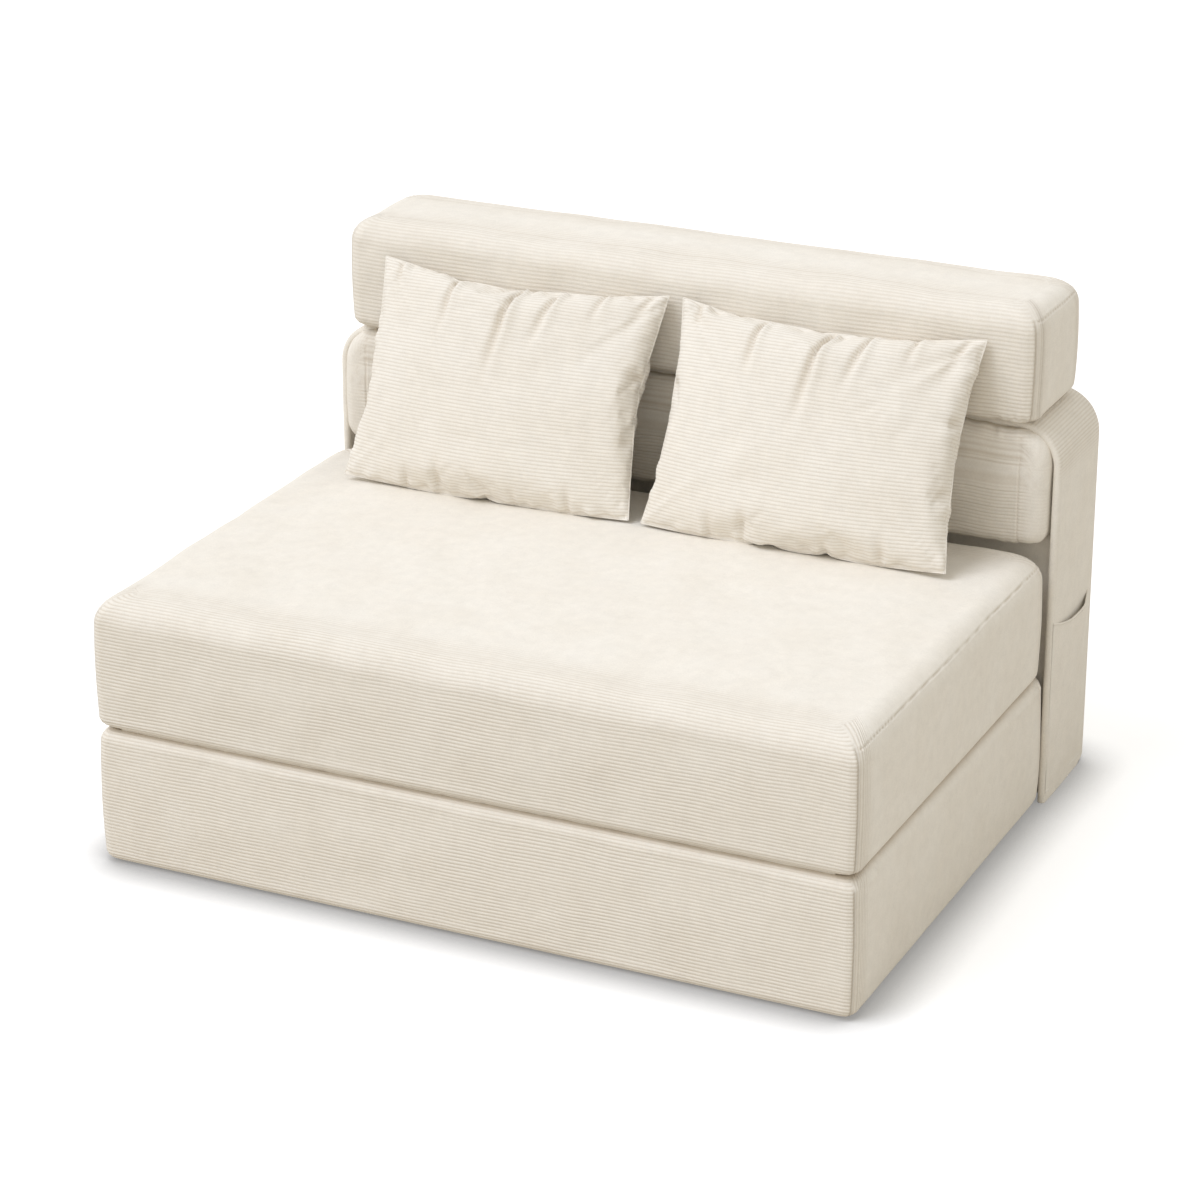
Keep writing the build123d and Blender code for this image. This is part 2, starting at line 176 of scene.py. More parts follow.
def grid_faces(index):
    """Quads of a grid of vertex numbers, facing along rows cross columns."""
    quads = np.stack([index[:-1, :-1], index[1:, :-1], index[1:, 1:], index[:-1, 1:]], axis=-1)
    return quads.reshape(-1, 4)


def sheet_edge(index):
    """Quads that join the border of a grid to its copy on the sheet's other face."""
    rim = grid_rim(index)
    other = rim + index.size
    return np.stack([rim, other, np.roll(other, -1), np.roll(rim, -1)], -1)


def grid_rim(index):
    """Vertex numbers round the border of a grid."""
    return np.concatenate([index[0, :-1], index[:-1, -1], index[-1, :0:-1], index[:0:-1, 0]])


inner_grid = (slice(1, -1), slice(1, -1))


def rear_grid_of(index):
    """Vertex numbers of a second sheet that is sewn to the first round its border."""
    rear = index.copy()
    rear[inner_grid] = index.size + np.arange(index[inner_grid].size).reshape(index[inner_grid].shape)
    return rear


def rounded_ring(half_a, half_b, radii, shares_a, shares_b):
    """Outline of a rounded rectangle from the middle of its first corner, anticlockwise."""
    corners = ((-1, -1, 225), (1, -1, 315), (1, 1, 45), (-1, 1, 135))
    arc = np.radians(np.linspace(0, 45, corner_lines + 1))
    ring = []
    for k, (side_a, side_b, angle) in enumerate(corners):
        next_a, next_b, next_angle = corners[(k + 1) % 4]
        start_radius, end_radius = radii[k], radii[(k + 1) % 4]
        start = np.array([side_a * (half_a - start_radius), side_b * (half_b - start_radius)])
        end = np.array([next_a * (half_a - end_radius), next_b * (half_b - end_radius)])
        leave = math.radians(angle) + arc
        arrive = math.radians(next_angle) - arc[::-1]
        first = start + start_radius * np.column_stack([np.cos(leave), np.sin(leave)])
        last = end + end_radius * np.column_stack([np.cos(arrive), np.sin(arrive)])
        shares = (shares_a, shares_b)[k % 2]
        shares = shares if k < 2 else 1 - shares[::-1]
        straight = first[-1] + (last[0] - first[-1]) * shares[1:-1, None]
        ring.append(np.vstack([first, straight, last[:-1]]))
    return np.vstack(ring)


def ring_sides(ring, seams):
    """Near, right, far and left side of a ring, each from low to high with both its ends."""
    closed = np.concatenate([ring, ring[:1]])
    near, right, far, left = (closed[a:b + 1] for a, b in zip(seams[:-1], seams[1:]))
    return near, right, far[::-1], left[::-1]


def cap_inside(ring, seams):
    """Grid of points inside a ring, from its four sides."""
    near, right, far, left = ring_sides(ring, seams)
    u = ((near[:, 0] - near[0, 0]) / (near[-1, 0] - near[0, 0]))[None, :, None]
    v = ((right[:, 1] - right[0, 1]) / (right[-1, 1] - right[0, 1]))[:, None, None]
    across = (1 - v) * near[None] + v * far[None] + (1 - u) * left[:, None] + u * right[:, None]
    near_corners = (1 - u) * (1 - v) * near[0] + u * (1 - v) * near[-1]
    return across - near_corners - (1 - u) * v * far[0] - u * v * far[-1]


def wall_profile(body, edges, draw_in, fine_step):
    """Cloth length up a cushion's wall, with the height and the distance in from its outline."""
    bottom_edge, top_edge = edges
    arc_bottom, arc_top = math.pi / 2 * bottom_edge, math.pi / 2 * top_edge
    wall = body - bottom_edge - top_edge
    total = arc_bottom + wall + arc_top
    length = np.linspace(0, total, round(total / fine_step) + 1)
    low = np.clip(length / bottom_edge, 0, math.pi / 2)
    high = np.clip((length - arc_bottom - wall) / top_edge, 0, math.pi / 2)
    level = bottom_edge * (1 - np.cos(low)) + top_edge * np.sin(high)
    level = level + np.clip(length - arc_bottom, 0, wall)
    inset = bottom_edge * (1 - np.sin(low)) + top_edge * (1 - np.cos(high))
    return length, level, inset + draw_in * (2 * level / body - 1) ** 2


class Cushion:
    """Closed cushion form: walls between two crowned faces, with places along its cloth.

    Its outline lies in a and b, and c is its height. Arrays hold, for each vertex, its
    place, the cloth length up the near wall and over the rim, the distance along the
    outline from a corner seam, and what kind of face it is on: 0 near, 1 right, 2 far and
    3 left wall, 4 top and 5 bottom cap.
    """

    def __init__(self, size, radii, edges, draw_in, crowns, zones, pitch=rib_pitch):
        fine_step = pitch / rib_samples
        half_a, half_b = size[0] / 2, size[1] / 2
        length, level, inset = wall_profile(size[2] - sum(crowns), edges, draw_in, fine_step)
        widest_edge = max(edges)
        rim_corner = rim_share * widest_edge
        taken = 2 * edges[1] + 2 * rim_corner
        shares_a = stations(2 * half_a - taken, corner_zone, corner_zone, fine_step)
        shares_b = stations(2 * half_b - taken, *zones, fine_step)
        count_a, count_b = (2 * corner_lines + len(shares) - 1 for shares in (shares_a, shares_b))
        seams = np.cumsum([0, count_a, count_b, count_a, count_b])
        around = seams[-1]
        rim_radii = [max(radius - widest_edge, rim_corner) for radius in radii]
        rings = []
        for one_inset in inset:
            turned = min(max(one_inset - draw_in, 0) / widest_edge, 1)
            ring_radii = [wide + (rim - wide) * turned for wide, rim in zip(radii, rim_radii)]
            halves = (half_a - one_inset, half_b - one_inset)
            rings.append(rounded_ring(*halves, ring_radii, shares_a, shares_b))
        plane = np.array(rings)
        numbers = np.arange(len(length) * around).reshape(len(length), around)
        following = np.roll(numbers, -1, 1)
        faces = [np.stack([numbers[:-1], following[:-1], following[1:], numbers[1:]], -1)]
        points = [np.dstack([plane, np.repeat(level[:, None], around, 1)])]
        widest = plane[(len(length) - 1) // 2]
        steps = np.linalg.norm(np.roll(widest, -1, 0) - widest, axis=1)
        travelled = np.concatenate([[0], np.cumsum(steps)])
        side = np.searchsorted(seams, np.arange(around), side="right") - 1
        from_start = travelled[:-1] - travelled[seams[side]]
        to_end = travelled[seams[side + 1]] - travelled[:-1]
        kinds, seam_start, seam_end = (
            [np.tile(values, len(length))] for values in (side, from_start, to_end))
        cloth = [np.repeat(length, around)]
        base = numbers.size
        for top in (True, False):
            ring = plane[-1] if top else plane[0]
            inside = cap_inside(ring, seams)
            edge_a, edge_b = np.abs(ring).max(0)
            swell = crown(inside[..., 0] / edge_a, inside[..., 1] / edge_b)
            cap_level = level[-1] + crowns[1] * swell if top else -crowns[0] * swell
            index = np.zeros(inside.shape[:2], int)
            rim = numbers[-1] if top else numbers[0]
            index[0], index[:, -1], index[-1], index[:, 0] = ring_sides(rim, seams)
            hollow = index[inner_grid]
            index[inner_grid] = base + np.arange(hollow.size).reshape(hollow.shape)
            base += hollow.size
            quads = grid_faces(index)
            faces.append(quads[:, ::-1] if top else quads)
            cap = np.dstack([inside, cap_level])[inner_grid].reshape(-1, 3)
            points.append(cap)
            kinds.append(np.full(len(cap), 4 if top else 5))
            from_near = cap[:, 1] + edge_b
            cloth.append(length[-1] + from_near if top else -from_near)
            seam_start.append(np.ones(len(cap)))
            seam_end.append(np.ones(len(cap)))
        self.pitch = pitch
        self.total = length[-1]
        self.rim_half = half_b - inset[-1]
        self.points = np.vstack([p.reshape(-1, 3) for p in points])
        self.points[:, 2] += crowns[0]
        self.faces = np.vstack([f.reshape(-1, 4) for f in faces])
        self.kind = np.concatenate(kinds)
        self.cloth = np.concatenate(cloth)
        self.seam_start = np.concatenate(seam_start)
        self.seam_end = np.concatenate(seam_end)
        self.top_level = level[-1] + crowns[0]
        self.height = np.zeros(len(self.points))
        self.groove_shade = np.zeros(len(self.points))

    def on(self, *kinds):
        return np.isin(self.kind, kinds)

    def add_ribs(self):
        """Ribs up the near and far walls, over the rims, and upright ones beside the corners, with
        painted shade in their valleys.
        """
        wave = rib_wave(self.cloth, self.pitch)
        patchy = 0.92 + 0.08 * soft_noise(self.points, 0.16, 5)
        mask = np.where(self.on(0, 2), 1.0, 0.0)
        near_distance = self.rim_half + self.points[:, 1]
        far_distance = self.rim_half - self.points[:, 1]
        on_cap = self.on(4, 5)
        from_rim = np.minimum(near_distance, far_distance)
        mask = np.where(on_cap, 1 - smooth(from_rim, 0, front_fade), mask)
        far_wave = rib_wave(self.total + far_distance, self.pitch)
        wave = np.where(on_cap & (far_distance < near_distance), far_wave, wave)
        ribs = mask * patchy * (1 - wave)
        nearest = np.minimum(self.seam_start, self.seam_end)
        side_mask = np.where(self.on(1, 3), 1 - smooth(nearest, 0.25 * side_fade, side_fade), 0.0)
        side_ribs = side_rib_weight * side_mask * (1 - rib_wave(nearest + 0.25 * rib_pitch))
        self.height -= rib_height * (ribs + side_ribs)
        # Painted shade in the rib valleys, the upright side ribs included
        self.groove_shade = np.maximum(self.groove_shade, ribs + side_rib_shade_weight * side_ribs)

    def add_groove(self, distance, strength=1.0):
        """Stitched seam where the distance is 0, with a raised welt on each side and painted shade
        along the seam.
        """
        distance = np.abs(distance)
        self.height -= strength * seam_depth * bump_at(distance, seam_half_width)
        self.height += strength * welt_height * bump_at(distance - welt_offset, welt_half_width)
        self.groove_shade = np.maximum(self.groove_shade, strength * 0.9 * bump_at(distance, seam_half_width))

    def add_corner_seams(self, drop=0.0):
        """Seams up the four corners, where the side panels meet the front and rear."""
        nearest = np.minimum(self.seam_start, self.seam_end)
        ending = self.top_level - drop
        strength = 1 - smooth(self.points[:, 2], ending - 0.002, ending + 0.010)
        self.add_groove(np.where(self.kind < 4, nearest, 1.0), strength)

    def add_side_seams(self, drop):
        """Seam along the top of each side panel."""
        level = self.top_level - drop
        distance = np.where(self.on(1, 3), self.points[:, 2] - level, 1.0)
        stitches = 0.55 + 0.45 * np.sign(np.sin(2 * math.pi * self.points[:, 1] / stitch_pitch))
        self.add_groove(distance, 0.8 * stitches)

    def add_puckers(self, level, reach, size, seed, kinds=(0, 1, 2, 3)):
        """Small gathers of the cloth beside an edge seam."""
        wall = self.on(*kinds)
        closeness = bump_at(self.points[:, 2] - level, reach) * wall
        around = self.points * np.array([1, 1, 0.15])
        gathers = soft_noise(around, 0.016, seed) + 0.6 * soft_noise(around, 0.045, seed + 1)
        strength = smooth(soft_noise(around, 0.22, seed + 2), -1.2, 1.0)
        self.height += size * closeness * gathers * strength

    def add_softness(self, size, seed, top_still=False, rear_still=False, front_inward=False):
        """Slow unevenness of stuffed cloth.

        It fades towards faces that lie on something or carry a zip, and a front that meets
        another block when the bed opens only sinks.
        """
        level, depth = self.points[:, 2], self.points[:, 1]
        free = smooth(level, still_start, still_reach)
        if top_still:
            free = free * smooth(self.top_level - level, still_start, still_reach)
        if rear_still:
            free = free * smooth(depth.max() - depth, 0.3 * still_reach, 1.6 * still_reach)
        field = swelling(self.points, seed)
        back, up = (soft_noise(self.points, 0.14, seed + 7 + axis) for axis in (1, 2))
        if front_inward:
            near = 1 - smooth(depth, depth.min(), depth.min() + 1.5 * still_reach)
            field = field + near * (np.tanh(field) - 1 - field)
            back = back + near * (np.tanh(back) + 1 - back)
        self.height += size * free * field
        self.points[:, 1] += 0.8 * size * free * back
        self.points[:, 2] += 0.8 * size * free * up

    def add_crease_shade(self, level):
        """Painted shade in the crease where two blocks meet, in a band round the given level on the
        walls.
        """
        shade = bump_at(self.points[:, 2] - level, crease_shade) * (self.kind < 4)
        self.groove_shade = np.maximum(self.groove_shade, shade)

    def build(self, name, origin, axes, material):
        normals = vertex_normals(self.points, self.faces)
        shaped = self.points + normals * self.height[:, None]
        placed = np.array(origin) + shaped @ np.array(axes, float)
        return mesh_object(name, placed, self.faces, material, np.clip(self.groove_shade, 0, 1))


def size_and_place(node):
    """Size of a solid's box and the middle of its underside."""
    low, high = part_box(node)
    size = tuple(high[i] - low[i] for i in range(3))
    return size, ((low[0] + high[0]) / 2, (low[1] + high[1]) / 2, low[2])


upright_axes = ((1, 0, 0), (0, 1, 0), (0, 0, 1))
facing_front_axes = ((1, 0, 0), (0, 0, 1), (0, -1, 0))
facing_rear_axes = ((-1, 0, 0), (0, 0, 1), (0, 1, 0))


# Materials

class Surface:
    """A material's shader, with short ways to add nodes to it."""

    def __init__(self, name, roughness):
        self.material = bpy.data.materials.new(name)
        self.material.use_nodes = True
        self.nodes = self.material.node_tree.nodes
        self.links = self.material.node_tree.links
        self.shader = self.nodes["Principled BSDF"]
        self.shader.inputs["Roughness"].default_value = roughness
        self.place = self.nodes.new("ShaderNodeTexCoord").outputs["Object"]

    def fill(self, node, inputs):
        """Gives a node's inputs values or other nodes' outputs."""
        for key, value in inputs.items():
            if isinstance(value, bpy.types.NodeSocket):
                self.links.new(value, node.inputs[key])
            else:
                node.inputs[key].default_value = value
        return node

    def node(self, kind, inputs):
        return self.fill(self.nodes.new("ShaderNode" + kind), inputs)

    def noise(self, scale, detail=3.0, roughness=0.55, place=None):
        texture = self.node("TexNoise", {"Scale": scale, "Detail": detail, "Roughness": roughness})
        self.links.new(place or self.place, texture.inputs["Vector"])
        return texture.outputs["Fac"]

    def spread(self, value, low, high, to_low=0.0, to_high=1.0):
        """Value brought from one range to another."""
        ranges = {"From Min": low, "From Max": high, "To Min": to_low, "To Max": to_high}
        return self.node("MapRange", {"Value": value, **ranges}).outputs["Result"]

    def math(self, operation, *values):
        node = self.node("Math", dict(enumerate(values)))
        node.operation = operation
        return node.outputs[0]

    def mix(self, factor, first, second, blend="MIX"):
        """Mix of two colours, each a value or another node's output."""
        node = self.nodes.new("ShaderNodeMix")
        node.data_type = "RGBA"
        node.blend_type = blend
        first, second = ((*c, 1.0) if isinstance(c, tuple) else c for c in (first, second))
        return self.fill(node, {0: factor, 6: first, 7: second}).outputs[2]

    def paint(self, colour, relief, distance, strength=1.0):
        """Sets the shader's colour and a fine relief."""
        bump = self.node("Bump", {"Distance": distance, "Strength": strength, "Height": relief})
        self.fill(self.shader, {"Base Color": colour, "Normal": bump.outputs["Normal"]})


# Colour and strength of the painted shade in rib valleys, seams and creases
painted_shade_tint = (0.560, 0.470, 0.355)
painted_shade_weight = 0.62


def corduroy(name, light, deep):
    """Brushed cream corduroy: cloudy nap, short fibres, and painted shade in its grooves, seams and
    creases.
    """
    cloth = Surface(name, 0.94)
    clouds = cloth.noise(11.0, 6.0, 0.65)
    brushed = cloth.noise(46.0, 4.0, 0.65)
    fibres = cloth.noise(380.0, 5.0, 0.75)
    colour = cloth.mix(cloth.spread(clouds, 0.36, 0.64), deep, light)
    colour = cloth.mix(1.0, colour, cloth.spread(brushed, 0.3, 0.7, 0.955, 1.02), "MULTIPLY")
    colour = cloth.mix(1.0, colour, cloth.spread(fibres, 0.3, 0.7, 0.94, 1.05), "MULTIPLY")
    # Painted shade: each vertex's share darkens the colour towards the shade tint
    groove_shade = cloth.node("Attribute", {})
    groove_shade.attribute_name = "groove_shade"
    amount = cloth.spread(groove_shade.outputs["Fac"], 0.0, 1.0, 0.0, painted_shade_weight)
    relief = cloth.math("MULTIPLY_ADD", fibres, 0.6, brushed)
    cloth.paint(cloth.mix(amount, colour, painted_shade_tint), relief, 0.0009, 0.7)
    cloth.fill(cloth.shader, {
        "Specular IOR Level": 0.25,
        "Sheen Weight": 0.12,
        "Sheen Roughness": 0.5,
        "Sheen Tint": (1.0, 0.97, 0.92, 1.0),
    })
    return cloth.material


def woven_tape(name, colour, pitch):
    """Narrow woven tape: crossing threads with a little colour change."""
    tape = Surface(name, 0.85)
    waves = []
    for direction in ("X", "Z"):
        inputs = {"Scale": 1 / (pitch * 3.2), "Distortion": 0.4, "Vector": tape.place}
        wave = tape.node("TexWave", inputs)
        wave.bands_direction = direction
        waves.append(wave.outputs["Fac"])
    threads = tape.math("MULTIPLY", *waves)
    darker = tuple(0.72 * channel for channel in colour)
    tape.paint(tape.mix(threads, darker, colour), threads, 0.0003, 0.6)
    return tape.material


def dotted_fabric(name):
    """Non-slip fabric: grey cloth with rows of small raised rubber dots."""
    fabric = Surface(name, 0.8)
    inputs = {"Scale": 140.0, "Randomness": 0.0, "Vector": fabric.place}
    cells = fabric.node("TexVoronoi", inputs)
    cells.voronoi_dimensions = "2D"
    dots = fabric.spread(cells.outputs["Distance"], 0.24, 0.30, 1.0, 0.0)
    cloth = fabric.mix(fabric.noise(600.0), (0.30, 0.285, 0.26), (0.38, 0.36, 0.33))
    fabric.paint(fabric.mix(dots, cloth, (0.12, 0.115, 0.11)), dots, 0.0006)
    return fabric.material


def speckled(name, roughness, grain, dark, light, depth, strength=1.0):
    """Fuzzy tape or pressed fibre: two colours in fine specks."""
    surface = Surface(name, roughness)
    specks = surface.noise(*grain)
    surface.paint(surface.mix(specks, dark, light), specks, depth, strength)
    return surface.material


def brushed_metal(name):
    """Brushed zip metal."""
    metal = Surface(name, 0.5)
    mapping = metal.node("Mapping", {"Scale": (40.0, 900.0, 900.0), "Vector": metal.place})
    lines = metal.noise(3.0, place=mapping.outputs["Vector"])
    metal.paint(metal.mix(lines, (0.46, 0.44, 0.41), (0.66, 0.64, 0.60)), lines, 0.0002, 0.3)
    worn = metal.spread(lines, 0.3, 0.7, 0.26, 0.42)
    metal.fill(metal.shader, {"Metallic": 1.0, "Roughness": worn})
    return metal.material


cloth_material = corduroy("cream_corduroy", (0.870, 0.828, 0.752), (0.850, 0.802, 0.720))
pillow_material = corduroy("pillow_corduroy", (0.880, 0.840, 0.768), (0.858, 0.812, 0.732))
tape_material = woven_tape("woven_tape", (0.74, 0.69, 0.60), 0.0009)
dotted_material = dotted_fabric("dotted_nonslip_fabric")
fastening_material = speckled(
    "hook_and_loop_tape", 0.95, (1400.0, 2.0, 0.8), (0.52, 0.48, 0.41), (0.74, 0.70, 0.62), 0.0008)
metal_material = brushed_metal("brushed_zip_metal")
board_material = speckled(
    "fibre_board", 0.75, (260.0, 5.0, 0.8), (0.33, 0.22, 0.13), (0.52, 0.38, 0.25), 0.0003, 0.5)


# Bed blocks

block_corners = (0.022, 0.022, 0.045, 0.045)
seat_edges = (0.020, 0.044)
base_edges = (0.020, 0.022)
block_draw = 0.004
block_crown = 0.011
side_seam_drop = 0.020
rib_zone = 0.100
rear_zone = 0.030
block_softness = 0.0008
base_gather = 0.0016
base_gather_drop = 0.018
base_gather_reach = 0.012


def block_cover(name, node, edges, crowns, seed):
    """Corduroy cover of one foam block, in the space that its solid holds."""
    size, place = size_and_place(node)
    form = Cushion(size, block_corners, edges, block_draw, crowns, (rib_zone, rear_zone))
    lies_under = crowns[1] == 0
    form.add_ribs()
    form.add_corner_seams(side_seam_drop)
    if not lies_under:
        form.add_side_seams(side_seam_drop)
    form.add_softness(block_softness, seed, lies_under, True, True)
    form.add_crease_shade(size[2] if lies_under else 0)
    if lies_under:
        level = form.top_level - base_gather_drop
        form.add_puckers(level, base_gather_reach, base_gather, seed + 3, (1, 3))
    return form.build(name, place, upright_axes, cloth_material)


def dress_blocks():
    base = block_cover("base_block_corduroy", "base_cover", base_edges, (0, 0), 11)
    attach(base, "base_and_back")
    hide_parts("base_cover", "base_foam_core", "base_comfort_layer")
    seat = block_cover("seat_block_corduroy", "seat_cover", seat_edges, (0, block_crown), 23)
    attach(seat, "seat")
    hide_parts("seat_cover", "seat_foam_core", "seat_comfort_layer")


# Back

back_seam_margin = 0.052
back_cushion_sag = 0.013
back_cushion_corners = (0.030, 0.030, 0.064, 0.064)
back_cushion_edges = (0.010, 0.022)
back_cushion_draw = 0.003
back_cushion_bow = 0.006
back_cushion_softness = 0.0014
back_front_depth = (0.075, 0.03)
back_gather = 0.0011
back_gather_reach = 0.022
bolster_corners = (0.030, 0.030, 0.040, 0.040)
bolster_edges = (0.020, 0.038)
bolster_draw = 0.004
bolster_bow = 0.007
bolster_wale = 0.0073
bolster_gather = 0.0011
bolster_gather_reach = 0.010
support_corner = 0.012
support_edges = (0.008, 0.012)
support_draw = 0.002
support_softness = 0.0006


def dress_bolster():
    size, place = size_and_place("bolster_cover")
    corners, edges = bolster_corners, bolster_edges
    crowns, zones = (0, bolster_bow), (rib_zone, rear_zone)
    form = Cushion(size, corners, edges, bolster_draw, crowns, zones, bolster_wale)
    form.add_ribs()
    form.add_corner_seams(side_seam_drop)
    form.add_side_seams(side_seam_drop)
    form.add_softness(block_softness, 41, False, True)
    form.add_crease_shade(0)
    form.add_puckers(bolster_gather_reach, bolster_gather_reach, bolster_gather, 44)
    bolster = form.build("bolster_corduroy", place, upright_axes, cloth_material)
    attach(bolster, "base_and_back")
    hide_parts("bolster_cover", "bolster_foam")


def dress_back_cushion():
    """Lower cushion: its outline is seen from the front, and its front face carries the ribs."""
    low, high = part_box("back_cushion_cover")
    low = (low[0], low[1], low[2] - back_cushion_sag)
    size = (high[0] - low[0], high[2] - low[2], high[1] - low[1])
    corners, edges = back_cushion_corners, back_cushion_edges
    crowns, zones = (0, back_cushion_bow), (size[1], 0.0)
    form = Cushion(size, corners, edges, back_cushion_draw, crowns, zones)
    x, upward = form.points[:, 0], form.points[:, 1]
    front_start, front_end = (size[2] - depth for depth in back_front_depth)
    front = smooth(form.points[:, 2], front_start, front_end)
    seam_x, end = size[0] / 2 - back_seam_margin, size[0] / 2 - 0.5 * back_seam_margin
    ends = 1 - 0.75 * smooth(np.abs(x), seam_x, end)
    wave = rib_wave(upward + size[1])
    form.height += rib_height * front * ends * (wave - 1)
    # Painted shade in the rib valleys of the front face
    form.groove_shade = np.maximum(form.groove_shade, front * ends * (1 - wave))
    form.add_groove(np.where(front > 0, np.abs(x) - seam_x, 1.0), 0.6)
    form.add_softness(back_cushion_softness, 53)
    edge = np.abs(upward) - size[1] / 2
    gathers = soft_noise(form.points * np.array([1, 0.2, 0.2]), 0.018, 57)
    form.height += back_gather * bump_at(edge, back_gather_reach) * gathers * front
    origin = (0, high[1], (low[2] + high[2]) / 2)
    cushion = form.build("back_cushion_corduroy", origin, facing_front_axes, cloth_material)
    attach(cushion, "base_and_back")
    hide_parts("back_cushion_cover", "back_cushion_foam", "back_cushion_front_wrap")


def dress_support():
    """Covered foam block inside the hood, behind the base."""
    size, place = size_and_place("back_support_cover")
    corners, zones = (support_corner,) * 4, (corner_zone, corner_zone)
    form = Cushion(size, corners, support_edges, support_draw, (0, 0), zones)
    form.add_corner_seams()
    form.add_softness(support_softness, 61)
    support = form.build("back_support_cloth", place, upright_axes, cloth_material)
    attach(support, "base_and_back")
    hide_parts("back_support_cover", "back_support_foam")


# Hood

hood_wall = 0.014
hood_arch_end = 0.8 * hood_wall
hood_corner = 0.078
hood_heel = 0.044
hood_rib_reach = 0.10
hood_hem = 0.007
hood_stitch = 0.009
hood_softness = 0.0012
hood_arch_softness = 0.0005
hood_rim_zone = 0.018
hood_rim_step = 0.0016
hood_corner_zone = 0.13
hood_top_step = 0.02
hood_panel_corner = 0.02
hood_panel_edges = (0.002, 0.0115)
hood_stitch_depth = 0.0004
hood_stitch_half_width = 0.0014


def arch_path(half_width, top):
    """Places and outward directions along the hood's arch, fine at its top corners."""
    shoulder = top - hood_corner
    wall = shoulder - stations(shoulder, hood_corner_zone, 0.0, row_step)[::-1] * shoulder
    wall = np.unique(np.round(wall, 7))
    angles = np.linspace(0, math.pi / 2, round(math.pi / 2 * hood_corner / row_step) + 1)[1:]
    run = half_width - hood_corner
    across = np.linspace(run, -run, 2 * round(run / hood_top_step) + 1)[1:]
    right = [((half_width, z), (1, 0)) for z in wall]
    for t in angles:
        way = (math.cos(t), math.sin(t))
        right.append(((run + hood_corner * way[0], shoulder + hood_corner * way[1]), way))
    middle = [((x, top), (0, 1)) for x in across[:-1]]
    left = [((-x, z), (-nx, nz)) for (x, z), (nx, nz) in reversed(right)]
    stops = right + middle + left
    return np.array([s[0] for s in stops]), np.array([s[1] for s in stops])


def dress_hood_arch():
    """Arch of padded cloth with a rolled front rim and a stitched hem."""
    low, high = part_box("hood_cover")
    front, rear = low[1], high[1] - hood_arch_end
    path, outward = arch_path(high[0], high[2])
    rim = hood_hem
    depth = rear - front - rim
    lengths = stations(depth, hood_rim_zone, 0.0, hood_rim_step) * depth
    turn = np.linspace(0, math.pi, 15)[1:-1]
    section = [(0.0, front + rim + d) for d in lengths[::-1]]
    section += [(-rim + rim * math.cos(t), front + rim - rim * math.sin(t)) for t in turn]
    inner = np.linspace(front + rim, rear, 14)
    section += [(-2 * rim, y) for y in inner]
    section = np.array(section)
    count, loop = len(path), len(section)
    along = np.concatenate([[0], np.cumsum(np.linalg.norm(np.diff(path, axis=0), axis=1))])
    inside = -section[:, 0]
    spot = path[:, None, :] + outward[:, None, :] * section[None, :, :1]
    depths = np.broadcast_to(section[:, 1], (count, loop))
    points = np.stack([spot[..., 0], depths, spot[..., 1]], -1)
    flat = points.reshape(-1, 3)
    heel_start = high[1] - hood_heel
    past = np.clip(flat[:, 1] - heel_start, 0, hood_heel)
    lift = hood_heel - np.sqrt(hood_heel ** 2 - past ** 2)
    flat[:, 2] += lift * np.clip(1 - flat[:, 2] / 0.3, 0, 1)
    index = np.arange(count * loop).reshape(count, loop)
    following = np.roll(index, -1, 1)
    faces = np.stack([index[:-1], index[1:], following[1:], following[:-1]], -1).reshape(-1, 4)
    off_corner = np.abs(outward[:, 0] - outward[:, 1]) + (path[:, 0] < 0)
    corner_middle = along[np.argmin(off_corner)]
    from_right = np.abs(along - corner_middle)
    from_left = np.abs(along[-1] - along - corner_middle)
    from_corner = np.minimum(from_right, from_left)
    mask = 1 - smooth(from_corner, 0.35 * hood_rib_reach, hood_rib_reach)[:, None]
    outer = np.clip(1 - inside / 0.004, 0, 1)
    # Rib valley depth, also used as painted shade in the valleys
    groove_shade = mask * (1 - rib_wave(along[:, None])) * outer[None]
    height = -rib_height * groove_shade
    faint = 0.25 * (1 - mask) * outer[None] * (np.abs(path[:, :1]) > 0.9 * high[0])
    height = height + 0.35 * faint * rib_height * (rib_wave(points[..., 1]) - 1)
    stitch = np.abs(section[None, :, 1] - front - hood_stitch) + inside[None]
    height = height - hood_stitch_depth * bump_at(stitch, hood_stitch_half_width)
    # Painted shade along the hem stitch
    groove_shade = np.maximum(groove_shade, 0.2 * bump_at(stitch, 0.0012)).reshape(-1)
    softness = hood_arch_softness * (1 + np.tanh(soft_noise(flat, 0.2, 71)))
    height = height.reshape(-1) + softness * np.tile(outer, count)
    normals = vertex_normals(flat, faces)
    shaped = flat + normals * height[:, None]
    all_faces = [list(face) for face in faces] + [list(index[0]), list(index[-1][::-1])]
    groove_shade = np.clip(groove_shade, 0, 1)
    arch = mesh_object("hood_arch_corduroy", shaped, all_faces, cloth_material, groove_shade)
    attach(arch, "base_and_back")
    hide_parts("hood_cover")


